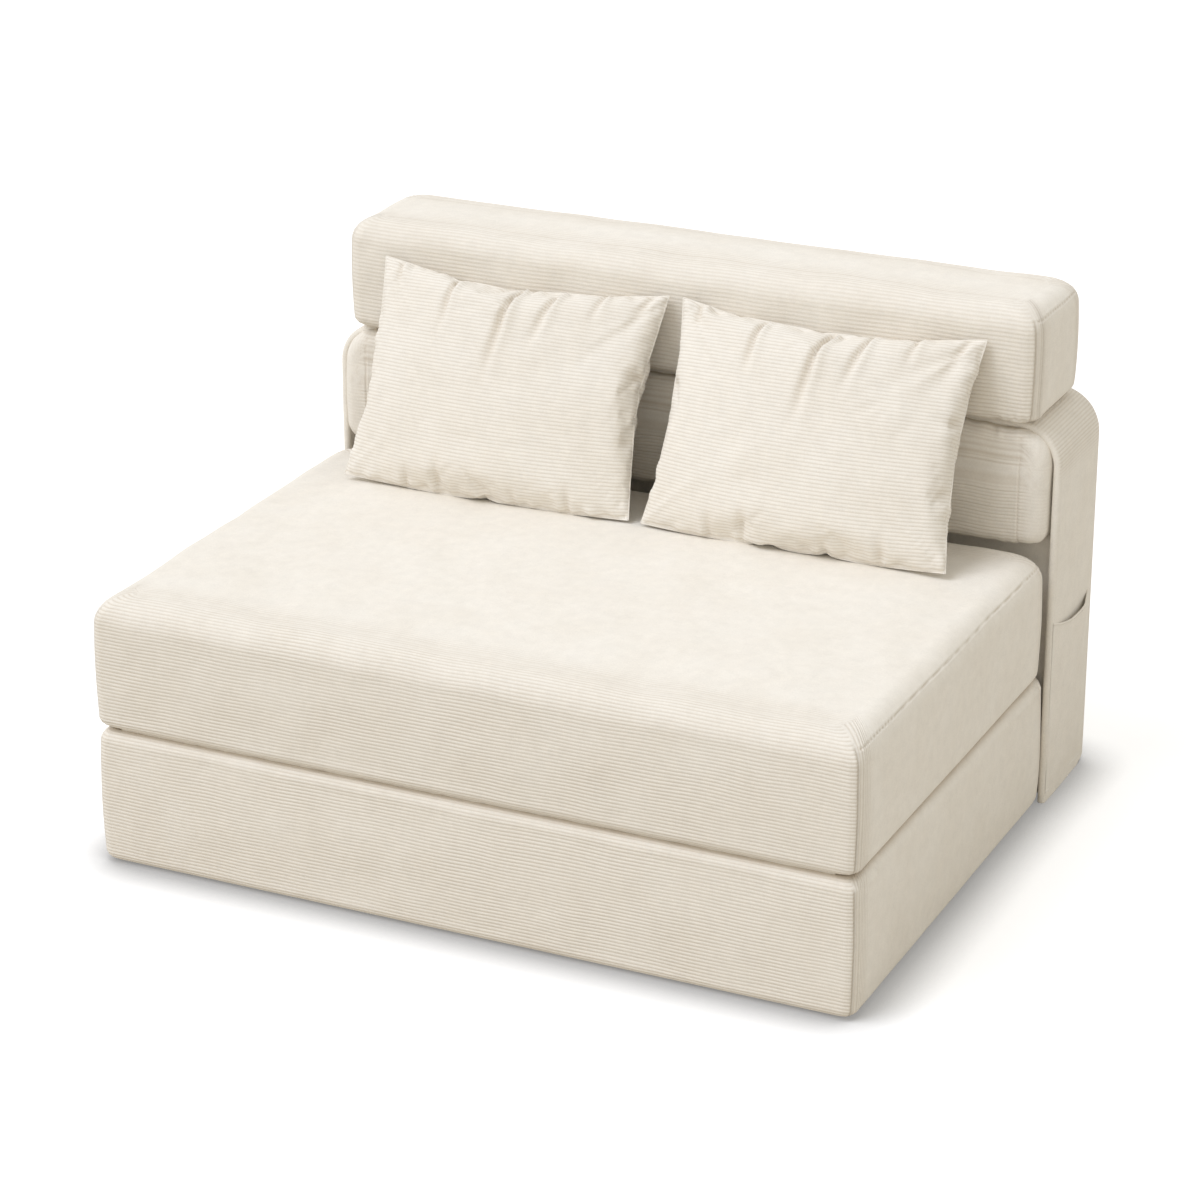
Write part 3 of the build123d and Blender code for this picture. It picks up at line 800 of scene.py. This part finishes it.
def dress_hood_panel():
    """Padded panel that closes the arch at the rear."""
    low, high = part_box("hood_cover")
    bottom = low[2] + 0.5 * hood_heel
    size = (2 * high[0], high[2] - bottom, hood_wall)
    radii = (hood_panel_corner, hood_panel_corner, hood_corner, hood_corner)
    zones = (corner_zone, corner_zone)
    form = Cushion(size, radii, hood_panel_edges, 0.0, (0, 0), zones)
    field = swelling(form.points, 77)
    edge_x = size[0] / 2 - np.abs(form.points[:, 0])
    edge_z = size[1] / 2 - np.abs(form.points[:, 1])
    edge = np.minimum(edge_x, edge_z)
    gathers = bump_at(edge - hood_panel_corner, 0.012) * soft_noise(form.points, 0.03, 79)
    outside = smooth(form.points[:, 2], 0.5 * hood_wall, hood_wall)
    outside = outside * smooth(edge, 0, hood_panel_corner)
    form.height += hood_softness * outside * (1 + np.tanh(field) + 0.5 * np.tanh(gathers))
    origin = (0, high[1] - hood_wall, (bottom + high[2]) / 2)
    panel = form.build("hood_rear_panel_corduroy", origin, facing_rear_axes, cloth_material)
    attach(panel, "base_and_back")


# Pockets

pocket_cloth = 0.0022
pocket_roll = 0.0019
pocket_corner = 0.028
pocket_rows = 70
pocket_columns = 60
pocket_front_margin = 0.004
pocket_rear_margin = 0.006
pocket_foot_margin = 0.012
pocket_bound = 0.010
pocket_dent = 0.0011


def dress_pockets():
    """Pocket panels that stand off the wall at their sagging mouth, with a rolled edge."""
    wall_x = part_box("hood_cover")[1][0]
    for name, side in (("left", -1), ("right", 1)):
        low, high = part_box(f"{name}_pocket_panel")
        bind_low, bind_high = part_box(f"{name}_pocket_binding")
        depth = max(abs(low[0]), abs(high[0])) - wall_x
        sag = bind_high[2] - bind_low[2] - pocket_bound
        start, end = low[1] - pocket_front_margin, high[1] + pocket_rear_margin
        bottom = low[2] - pocket_foot_margin
        places_u = np.linspace(0, 1, pocket_columns + 1)
        places_v = np.linspace(0, 1, pocket_rows + 1)
        u, v = np.meshgrid(places_u, places_v)
        mouth = high[2] - sag * 4 * u * (1 - u)
        y = start + (end - start) * u
        z = bottom + (mouth - bottom) * v
        reach_y = np.clip(y - (end - pocket_corner), 0, pocket_corner)
        foot = bottom + pocket_corner - np.sqrt(pocket_corner ** 2 - reach_y ** 2)
        z = foot + (z - bottom) * (mouth - foot) / (mouth - bottom)
        stand = smooth(u, 0, 0.4) * smooth(1 - u, 0, 0.3) * smooth(v, 0.2, 1.0)
        flat = np.stack([0 * y, y, z], -1).reshape(-1, 3)
        dents = pocket_dent * soft_noise(flat, 0.09, 81 + side).reshape(y.shape) * stand
        outer = wall_x + pocket_cloth + (depth - pocket_cloth) * stand + dents
        hem = np.minimum(np.minimum(u, 1 - u) * 0.6, v)
        sunk = outer - pocket_cloth * (1 - smooth(hem, 0.0, 0.12))
        outer = np.maximum(sunk, wall_x + 0.0004)
        inner = np.maximum(outer - pocket_cloth, wall_x + 0.0002)
        sheets = [np.stack([side * x, y, z], -1).reshape(-1, 3) for x in (outer, inner)]
        index = np.arange(y.size).reshape(y.shape)
        faces = [grid_faces(index), grid_faces(index + index.size)[:, ::-1], sheet_edge(index)]
        faces = np.vstack(faces)[:, ::-side]
        panel = mesh_object(f"{name}_pocket_corduroy", np.vstack(sheets), faces, cloth_material)
        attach(panel, "base_and_back")
        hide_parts(f"{name}_pocket_panel")
        edge = np.stack([side * (outer[-1] - 0.5 * pocket_cloth), y[-1], z[-1]], -1)
        binding = tube(f"{name}_pocket_rolled_edge", edge, pocket_roll, cloth_material, False)
        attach(binding, "base_and_back")
        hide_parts(f"{name}_pocket_binding")


tube_sides = 8


def tube(name, path, radius, material, closed):
    """Round cord along a path of points."""
    path = np.asarray(path, float)
    if closed:
        ahead, behind = np.roll(path, -1, 0), np.roll(path, 1, 0)
    else:
        ahead = np.vstack([path[1:], path[-1:]])
        behind = np.vstack([path[:1], path[:-1]])
    tangent = ahead - behind
    tangent /= np.maximum(np.linalg.norm(tangent, axis=1), 1e-9)[:, None]
    first = np.cross(tangent, np.array([1.0, 0.35, 0.2]))
    first /= np.linalg.norm(first, axis=1)[:, None]
    second = np.cross(tangent, first)
    turns = np.linspace(0, 2 * math.pi, tube_sides, endpoint=False)[None, :, None]
    ring = first[:, None] * np.cos(turns) + second[:, None] * np.sin(turns)
    points = (path[:, None] + radius * ring).reshape(-1, 3)
    index = np.arange(len(points)).reshape(len(path), tube_sides)
    following = np.roll(index, -1, 1)
    rows = (index, np.roll(index, -1, 0), np.roll(following, -1, 0), following)
    if not closed:
        rows = tuple(row[:-1] for row in rows)
    faces = np.stack(rows, -1).reshape(-1, 4).tolist()
    if not closed:
        faces += [index[0].tolist(), index[-1][::-1].tolist()]
    return mesh_object(name, points, faces, material)


# Pillows

pillow_tall = 0.412
pillow_lean = math.radians(25.5)
pillow_thickness = 0.136
pillow_most_stretch = 1.25
pillow_clearance = 0.003
pillow_cells = (60, 44)
pillow_columns = 150
pillow_spare = 1.03
pillow_foot_bow = 0.045
pillow_side_bow = 0.008
pillow_ease = 0.035
pillow_unevenness = 0.0014
pillow_fullness = 0.130
pillow_rows = 5
pillow_piping = 0.0011
pillow_wale = 0.0064
pillow_waist = 0.030
pillow_dip = 0.034
pillow_gather = 0.0016
fold_width_scale = 1.9
fold_depth_scale = 1.15


def inflate(name, width, height, seed):
    """Two sheets sewn round their edges and blown up as cloth; returns the front and rear grids."""
    columns, rows = pillow_cells
    u, v = np.meshgrid(np.linspace(-0.5, 0.5, columns + 1), np.linspace(-0.5, 0.5, rows + 1))
    flat_w, flat_h = width * pillow_spare, height * pillow_spare
    across, upright = 1 - (2 * u) ** 2, 1 - (2 * v) ** 2
    x = u * flat_w * (1 + pillow_side_bow * upright)
    y = v * flat_h - pillow_foot_bow * (0.5 - v) * across * flat_h
    flat = np.stack([x, y, 0 * u], -1)
    cells = np.arange(u.size).reshape(u.shape)
    rear = rear_grid_of(cells)
    dome = np.sqrt(across * upright)
    sheets = []
    for way in (1, -1):
        uneven = soft_noise(flat.reshape(-1, 3), 0.12, seed + way).reshape(u.shape)
        sheet = flat.copy()
        sheet[..., 2] = way * dome * (pillow_ease + pillow_unevenness * uneven)
        sheets.append(sheet)
    points = np.vstack([sheets[0].reshape(-1, 3), sheets[1][inner_grid].reshape(-1, 3)])
    faces = np.vstack([grid_faces(cells)[:, ::-1], grid_faces(rear)])
    points = simulated(name, points, faces)
    return points[cells], points[rear]


cloth_steps = 32
cloth_settings = {
    "quality": 6,
    "mass": 0.4,
    "tension_stiffness": 80,
    "compression_stiffness": 80,
    "shear_stiffness": 20,
    "bending_stiffness": 1.2,
    "tension_damping": 12,
    "air_damping": 2,
    "use_pressure": True,
    "uniform_pressure_force": 4,
}


def simulated(name, points, faces):
    """Runs the cloth solver with inner pressure and no gravity until the pillow is full."""
    mesh = bpy.data.meshes.new(name)
    mesh.from_pydata(points.tolist(), [], faces.tolist())
    body = bpy.data.objects.new(name, mesh)
    bpy.context.scene.collection.objects.link(body)
    cloth = body.modifiers.new("Cloth", "CLOTH")
    for key, value in cloth_settings.items():
        setattr(cloth.settings, key, value)
    cloth.settings.effector_weights.gravity = 0
    cloth.point_cache.frame_start = 1
    cloth.point_cache.frame_end = 40
    blown = np.empty(len(points) * 3)
    for step in range(1, cloth_steps + 1):
        bpy.context.scene.frame_set(step)
        shown = body.evaluated_get(bpy.context.evaluated_depsgraph_get())
        shown.to_mesh().vertices.foreach_get("co", blown)
        shown.to_mesh_clear()
        if np.ptp(blown[2::3]) > pillow_fullness:
            break
    bpy.data.objects.remove(body)
    bpy.context.scene.frame_set(1)
    return blown.reshape(-1, 3)


def resampling(count_in, places):
    """Weights that read a smooth curve through evenly spaced values at the given places."""
    at = np.clip(places, 0, 1) * (count_in - 1)
    cell = np.clip(np.floor(at).astype(int), 0, count_in - 2)
    t = at - cell
    weights = np.zeros((len(places), count_in))
    parts = (
        -0.5 * t + t ** 2 - 0.5 * t ** 3,
        1 - 2.5 * t ** 2 + 1.5 * t ** 3,
        0.5 * t + 2 * t ** 2 - 1.5 * t ** 3,
        -0.5 * t ** 2 + 0.5 * t ** 3,
    )
    for k, part in enumerate(parts):
        np.add.at(weights, (np.arange(len(places)), np.clip(cell + k - 1, 0, count_in - 1)), part)
    return weights


def crease_field(u, v, aspect):
    """Sharp folds that run in from the pillow's edges; each is a start, a run and sizes."""
    field = np.zeros_like(u)
    for start_u, start_v, run_u, run_v, half_width, depth in (*top_folds, *bottom_folds, *edge_folds):
        length = math.hypot(run_u, run_v)
        from_u, from_v = u - start_u * aspect, v - start_v
        along = (from_u * run_u + from_v * run_v) / length
        off = (from_v * run_u - from_u * run_v) / length
        fade = smooth(along, -0.02, 0.0) * (1 - smooth(along, 0.15 * length, length))
        width = fold_width_scale * half_width * (0.6 + 0.9 * np.clip(along / length, 0, 1))
        ridge = 0.45 * bump_at(off - 2.1 * width, 1.3 * width)
        field += fold_depth_scale * depth * fade * (ridge - bump_at(off, width))
    return field


top_folds = (
    (-0.43, 1.0, 0.02, -0.16, 0.009, 0.0060),
    (-0.20, 1.0, -0.03, -0.36, 0.008, 0.0095),
    (0.02, 1.0, -0.09, -0.55, 0.009, 0.0115),
    (0.16, 1.0, -0.10, -0.36, 0.008, 0.0095),
    (0.30, 1.0, -0.04, -0.22, 0.008, 0.0055),
    (0.45, 1.0, -0.10, -0.26, 0.012, 0.0045),
)
bottom_folds = (
    (-0.27, 0.0, 0.02, 0.16, 0.009, 0.0036),
    (-0.16, 0.0, 0.03, 0.24, 0.010, 0.0042),
    (0.12, 0.0, -0.02, 0.13, 0.010, 0.0030),
    (0.30, 0.0, -0.01, 0.18, 0.011, 0.0038),
)
edge_folds = (
    (0.5, 0.62, -0.16, 0.02, 0.014, 0.0030),
    (0.5, 0.34, -0.12, -0.03, 0.016, 0.0032),
    (-0.5, 0.45, 0.10, 0.02, 0.016, 0.0024),
)


def seat_height(x, y):
    """Height of the seat's crowned corduroy over a place."""
    low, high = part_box("seat_cover")
    half_a = (high[0] - low[0]) / 2 - seat_edges[1] - block_draw
    half_b = (high[1] - low[1]) / 2 - seat_edges[1] - block_draw
    off = (y - (low[1] + high[1]) / 2) / half_b
    return high[2] - block_crown + block_crown * crown(x / half_a, off)


def pillow_sheets(name, width, places_u, places_v, seed):
    """Front and rear sheet of a blown-up pillow of the right size, read at the given places."""
    front, rear = inflate(f"{name}_pillow_simulation", width, pillow_tall, seed)
    scale_x = width / np.ptp(front[..., 0])
    scale_y = pillow_tall / np.ptp(front[..., 1])
    thickness = front[..., 2].max() - rear[..., 2].min()
    scale_z = min(pillow_most_stretch, pillow_thickness / thickness)
    read_v = resampling(front.shape[0], places_v)
    read_u = resampling(front.shape[1], places_u)
    sheets = []
    for grid in (front, rear):
        sheet = np.einsum("ij,jkc,lk->ilc", read_v, grid, read_u) * (scale_x, scale_y, scale_z)
        off_x, off_y = sheet[..., 0] / (width / 2), sheet[..., 1] / (pillow_tall / 2)
        waist = (1 - np.minimum(off_y ** 2, 1)) * np.abs(off_x) ** 3
        sheet[..., 0] *= 1 - pillow_waist * waist
        dip = (1 - np.minimum(off_x ** 2, 1)) * np.maximum(off_y, 0) ** 3
        sheet[..., 1] *= 1 - pillow_dip * dip
        sheets.append(sheet)
    return sheets


def leaned(points, low, high):
    """Pillow's points stood on the seat and leaned on the bolster, which they don't enter."""
    lean_sin, lean_cos = math.sin(pillow_lean), math.cos(pillow_lean)
    foot = np.array([(low[0] + high[0]) / 2, high[1] - pillow_tall * lean_sin, 0])
    across = (1, 0, 0)
    up = (0, lean_sin, lean_cos)
    out = (0, -lean_cos, lean_sin)
    placed = (points + (0, pillow_tall / 2, 0)) @ np.array([across, up, out]) + foot
    placed[:, 2] += seat_height(foot[0], foot[1]) + pillow_clearance
    floor = seat_height(placed[:, 0], placed[:, 1]) + 0.5 * pillow_clearance
    placed[:, 2] = np.maximum(placed[:, 2], floor)
    bolster_low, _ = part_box("bolster_cover")
    behind = placed[:, 2] > bolster_low[2] - 0.01
    stopped = np.minimum(placed[:, 1], bolster_low[1] - 0.001)
    placed[:, 1] = np.where(behind, stopped, placed[:, 1])
    return placed


def dress_pillow(name, seed):
    """Pillow of simulated cloth with ribs, folds and piping, leaned on the bolster."""
    low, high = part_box(f"{name}_pillow_cover")
    width = high[0] - low[0]
    rows = round(pillow_tall / pillow_wale) * pillow_rows
    places_v = np.linspace(0, 1, rows + 1)
    even = np.linspace(0, 1, pillow_columns + 1)
    places_u = 0.35 * (0.5 - 0.5 * np.cos(even * math.pi)) + 0.65 * even
    front, rear = pillow_sheets(name, width, places_u, places_v, seed)
    u, v = np.meshgrid(places_u - 0.5, places_v)
    index = np.arange(u.size).reshape(u.shape)
    points = np.vstack([front.reshape(-1, 3), rear[inner_grid].reshape(-1, 3)])
    faces = np.vstack([grid_faces(index)[:, ::-1], grid_faces(rear_grid_of(index))])
    furrow = 1 - rib_wave(v / pillow_rows * rows * pillow_wale, pillow_wale)
    folds = crease_field(u * width / pillow_tall, v, width / pillow_tall)
    inset_u = np.minimum(u + 0.5, 0.5 - u) * width
    inset = np.minimum(inset_u, np.minimum(v, 1 - v) * pillow_tall)
    flat = np.stack([front[..., 0], front[..., 1], 0 * u], -1).reshape(-1, 3)
    gathers = soft_noise(flat, 0.035, seed + 5).reshape(u.shape)
    gathers = gathers * bump_at(inset, 0.022) * smooth(inset, 0, 0.006) * pillow_gather
    rear_height = gathers - 0.62 * rib_height * furrow * smooth(inset, 0, 0.002)
    front_height = rear_height + folds * smooth(inset, 0, 0.012)
    height = np.concatenate([front_height.reshape(-1), rear_height[inner_grid].reshape(-1)])
    # Painted shade in the rib furrows and in the fold creases
    front_shade = 0.7 * furrow + np.clip(-folds / 0.014, 0, 0.35)
    groove_shade = np.concatenate([front_shade.reshape(-1), 0.7 * furrow[inner_grid].reshape(-1)])
    points = points + vertex_normals(points, faces) * height[:, None]
    placed = leaned(points, low, high)
    groove_shade = np.clip(groove_shade, 0, 1)
    cover = mesh_object(f"{name}_pillow_corduroy", placed, faces, pillow_material, groove_shade)
    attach(cover, f"{name}_pillow")
    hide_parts(f"{name}_pillow_cover", f"{name}_pillow_filling")
    seam = placed[grid_rim(index)]
    piping = tube(f"{name}_pillow_piping", seam, pillow_piping, pillow_material, True)
    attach(piping, f"{name}_pillow")


# Small pieces

tooth_pitch = 0.0030
tooth_size = (0.0017, 0.0018, 0.0021)
tooth_offset = 0.0009
zip_tape_cloth = 0.0008
zip_tape_ripple = 0.0003
zip_ripple_turn = 0.9
zip_tape_stations = 160
zip_tape_columns = (-1.0, -0.55, -0.2, 0.0, 0.2, 0.55, 1.0)
box_quads = ((0, 1, 3, 2), (4, 6, 7, 5), (0, 4, 5, 1), (2, 3, 7, 6), (0, 2, 6, 4), (1, 5, 7, 3))


def dress_zip(name, body):
    """Woven tape with two rows of teeth that mesh in its middle."""
    low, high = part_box(f"{name}_zip")
    middle = (low[2] + high[2]) / 2
    corners = np.array([(x, y, z) for x in (-0.5, 0.5) for y in (-0.5, 0.5) for z in (-0.5, 0.5)])
    points, faces = [], []
    for k in range(int((high[0] - low[0]) / tooth_pitch)):
        x = low[0] + (k + 0.5) * tooth_pitch
        for row in (-1, 1):
            centre = (
                x + row * tooth_pitch / 4,
                high[1] - tooth_size[1] / 2,
                middle + row * tooth_offset,
            )
            faces.append(np.array(box_quads) + 8 * len(points))
            points.append(centre + corners * tooth_size)
    points, faces = np.vstack(points), np.vstack(faces)
    teeth = mesh_object(f"{name}_zip_teeth", points, faces, metal_material)
    teeth.data.shade_flat()
    x = np.linspace(low[0], high[0], zip_tape_stations)[:, None]
    turns = zip_ripple_turn * np.arange(zip_tape_stations)
    ripple = zip_tape_ripple * np.abs(np.sin(turns))[:, None]
    columns = np.array(zip_tape_columns)[None]
    z = middle + columns * (high[2] - low[2]) / 2
    sheets = []
    for lift in (0, zip_tape_cloth + ripple * np.abs(columns)):
        y = low[1] + lift
        sheets.append(np.stack(np.broadcast_arrays(x, y, z), -1).reshape(-1, 3))
    index = np.arange(x.size * z.size).reshape(x.size, z.size)
    faces = [grid_faces(index), grid_faces(index + index.size)[:, ::-1], sheet_edge(index)]
    points, faces = np.vstack(sheets), np.vstack(faces)
    tape = mesh_object(f"{name}_zip_tape", points, faces, tape_material)
    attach(tape, body)
    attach(teeth, body)
    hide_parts(f"{name}_zip")


fold_nose = 0.0190
fold_overhang = 0.014
fold_dive = 0.006
fold_reach = 0.035
fold_cloth = 0.0009
fold_leaf = 0.0024
fold_ripple = 0.0004


def dress_fold():
    """Fabric hinge in the front crease: a folded tape sewn to both blocks."""
    base_low, base_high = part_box("base_cover")
    seat_low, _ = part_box("seat_cover")
    strip_low, strip_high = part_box("fold_hinge_strip")
    middle = (base_high[2] + seat_low[2]) / 2
    front = base_low[1]
    leaf = fold_leaf
    depths = np.linspace(fold_reach, fold_nose + leaf, 8)
    dives = fold_dive * np.linspace(1, 0, 8) ** 2
    lower = [(front + d, middle - leaf - dive) for d, dive in zip(depths, dives)]
    turn = np.linspace(0, math.pi, 7)[1:-1]
    nose = front + fold_nose + leaf
    line = lower + [(nose - leaf * math.sin(t), middle - leaf * math.cos(t)) for t in turn]
    line += [(y, 2 * middle - z) for y, z in reversed(lower)]
    y, z = np.array(line).T[..., None]
    x = np.linspace(strip_low[0] - fold_overhang, strip_high[0] + fold_overhang, 161)
    ripple = fold_ripple * soft_noise(np.stack([x, 0 * x, 0 * x], -1), 0.03, 91)
    sheets = []
    for thickness in (0, fold_cloth):
        sheet = np.broadcast_arrays(x, y + thickness + ripple, z)
        sheets.append(np.stack(sheet, -1).reshape(-1, 3))
    index = np.arange(len(line) * len(x)).reshape(len(line), len(x))
    faces = [grid_faces(index)[:, ::-1], grid_faces(index + index.size), sheet_edge(index)]
    strip = mesh_object("fold_hinge_cloth", np.vstack(sheets), np.vstack(faces), cloth_material)
    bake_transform(strip)
    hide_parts("fold_hinge_strip")


def finish_carried_nodes():
    """Materials of the pieces whose solids stay."""
    finishes = {
        dotted_material: ("base_nonslip_panel",),
        fastening_material: (
            "base_loop_pads", "back_hook_pads", "bolster_hook_tapes", "bolster_loop_tapes"),
        metal_material: ("base_zip_slider", "seat_zip_slider", "bolster_zip_slider"),
        board_material: ("hood_left_stiffener", "hood_right_stiffener", "hood_rear_stiffener"),
    }
    for material, carried in finishes.items():
        for node in carried:
            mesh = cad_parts[node].data
            mesh.materials.clear()
            mesh.materials.append(material)


# Stage

camera_yaw = math.radians(25.035)
camera_pitch = math.radians(22.17)
camera_lens = 112.0
camera_place = (2.546, -5.472, 2.858)
key_direction = (-0.43, -0.42, 0.80)
key_strength = 1.42
key_spread = math.radians(38)
key_colour = (0.96, 1.0, 1.12)
ambient_colour = (1.0, 0.98, 0.93, 1.0)
backdrop_colour = (0.99, 0.99, 0.99, 1.0)
ambient_strength = 0.75
floor_half = 40.0
floor_glow = 0.56
floor_colour = (0.62, 0.615, 0.61)
floor_bounce = (0.64, 0.60, 0.53)
# Reach of the floor's painted contact shadow
painted_shadow_reach = 0.10


def add_camera():
    data = bpy.data.cameras.new("camera")
    data.lens = camera_lens
    data.clip_end = 200
    camera = bpy.data.objects.new("camera", data)
    bpy.context.scene.collection.objects.link(camera)
    back = Vector((
        math.sin(camera_yaw) * math.cos(camera_pitch),
        -math.cos(camera_yaw) * math.cos(camera_pitch),
        math.sin(camera_pitch),
    ))
    camera.location = camera_place
    camera.rotation_mode = "QUATERNION"
    camera.rotation_quaternion = (-back).to_track_quat("-Z", "Y")
    bpy.context.scene.camera = camera


def add_light():
    lamp = bpy.data.lights.new("key", "SUN")
    lamp.energy = key_strength
    lamp.angle = key_spread
    lamp.color = key_colour
    key = bpy.data.objects.new("key", lamp)
    key.rotation_mode = "QUATERNION"
    key.rotation_quaternion = Vector(key_direction).to_track_quat("Z", "Y")
    bpy.context.scene.collection.objects.link(key)
    world = bpy.data.worlds.new("studio")
    bpy.context.scene.world = world
    world.use_nodes = True
    nodes, links = world.node_tree.nodes, world.node_tree.links
    nodes.clear()
    output = nodes.new("ShaderNodeOutputWorld")
    path = nodes.new("ShaderNodeLightPath")
    backgrounds = []
    for colour, strength in ((ambient_colour, ambient_strength), (backdrop_colour, 1.0)):
        background = nodes.new("ShaderNodeBackground")
        background.inputs["Color"].default_value = colour
        background.inputs["Strength"].default_value = strength
        backgrounds.append(background)
    seen = nodes.new("ShaderNodeMath")
    seen.operation = "MAXIMUM"
    links.new(path.outputs["Is Camera Ray"], seen.inputs[0])
    links.new(path.outputs["Is Glossy Ray"], seen.inputs[1])
    choose = nodes.new("ShaderNodeMixShader")
    links.new(seen.outputs[0], choose.inputs["Fac"])
    links.new(backgrounds[0].outputs[0], choose.inputs[1])
    links.new(backgrounds[1].outputs[0], choose.inputs[2])
    links.new(choose.outputs[0], output.inputs["Surface"])


def add_floor():
    half = floor_half
    corners = np.array([(-half, -half, 0), (half, -half, 0), (half, half, 0), (-half, half, 0)])
    white = Surface("white_floor", 1.0)
    seen = white.node("LightPath", {}).outputs["Is Camera Ray"]
    # Painted contact shadow: an ambient-occlusion node darkens the floor's colour and its camera-only
    # glow near the object, on top of the lamps' real shadow
    openness = white.node("AmbientOcclusion", {"Distance": painted_shadow_reach})
    openness.samples = 16
    opened = white.spread(openness.outputs["AO"], 0.45, 1.0, 0.46, 1.0)
    painted_contact_shadow = white.mix(1.0, floor_colour, opened, "MULTIPLY")
    glow_with_painted_shadow = white.spread(opened, 0.55, 1.0, 0.4 * floor_glow, floor_glow)
    white.fill(white.shader, {
        "Specular IOR Level": 0.0,
        "Base Color": white.mix(seen, floor_bounce, painted_contact_shadow),
        "Emission Color": (1, 1, 1, 1),
        "Emission Strength": white.math("MULTIPLY", seen, glow_with_painted_shadow),
    })
    floor = mesh_object("floor", corners, np.array([[0, 1, 2, 3]]), white.material)


dress_blocks()
dress_bolster()
dress_back_cushion()
dress_support()
dress_hood_arch()
dress_hood_panel()
dress_pockets()
dress_pillow("left", 101)
dress_pillow("right", 131)
dress_zip("base", "base_and_back")
dress_zip("seat", "seat")
dress_zip("bolster", "base_and_back")
dress_fold()
finish_carried_nodes()
add_camera()
add_light()
add_floor()
bpy.context.scene.view_settings.view_transform = "Standard"
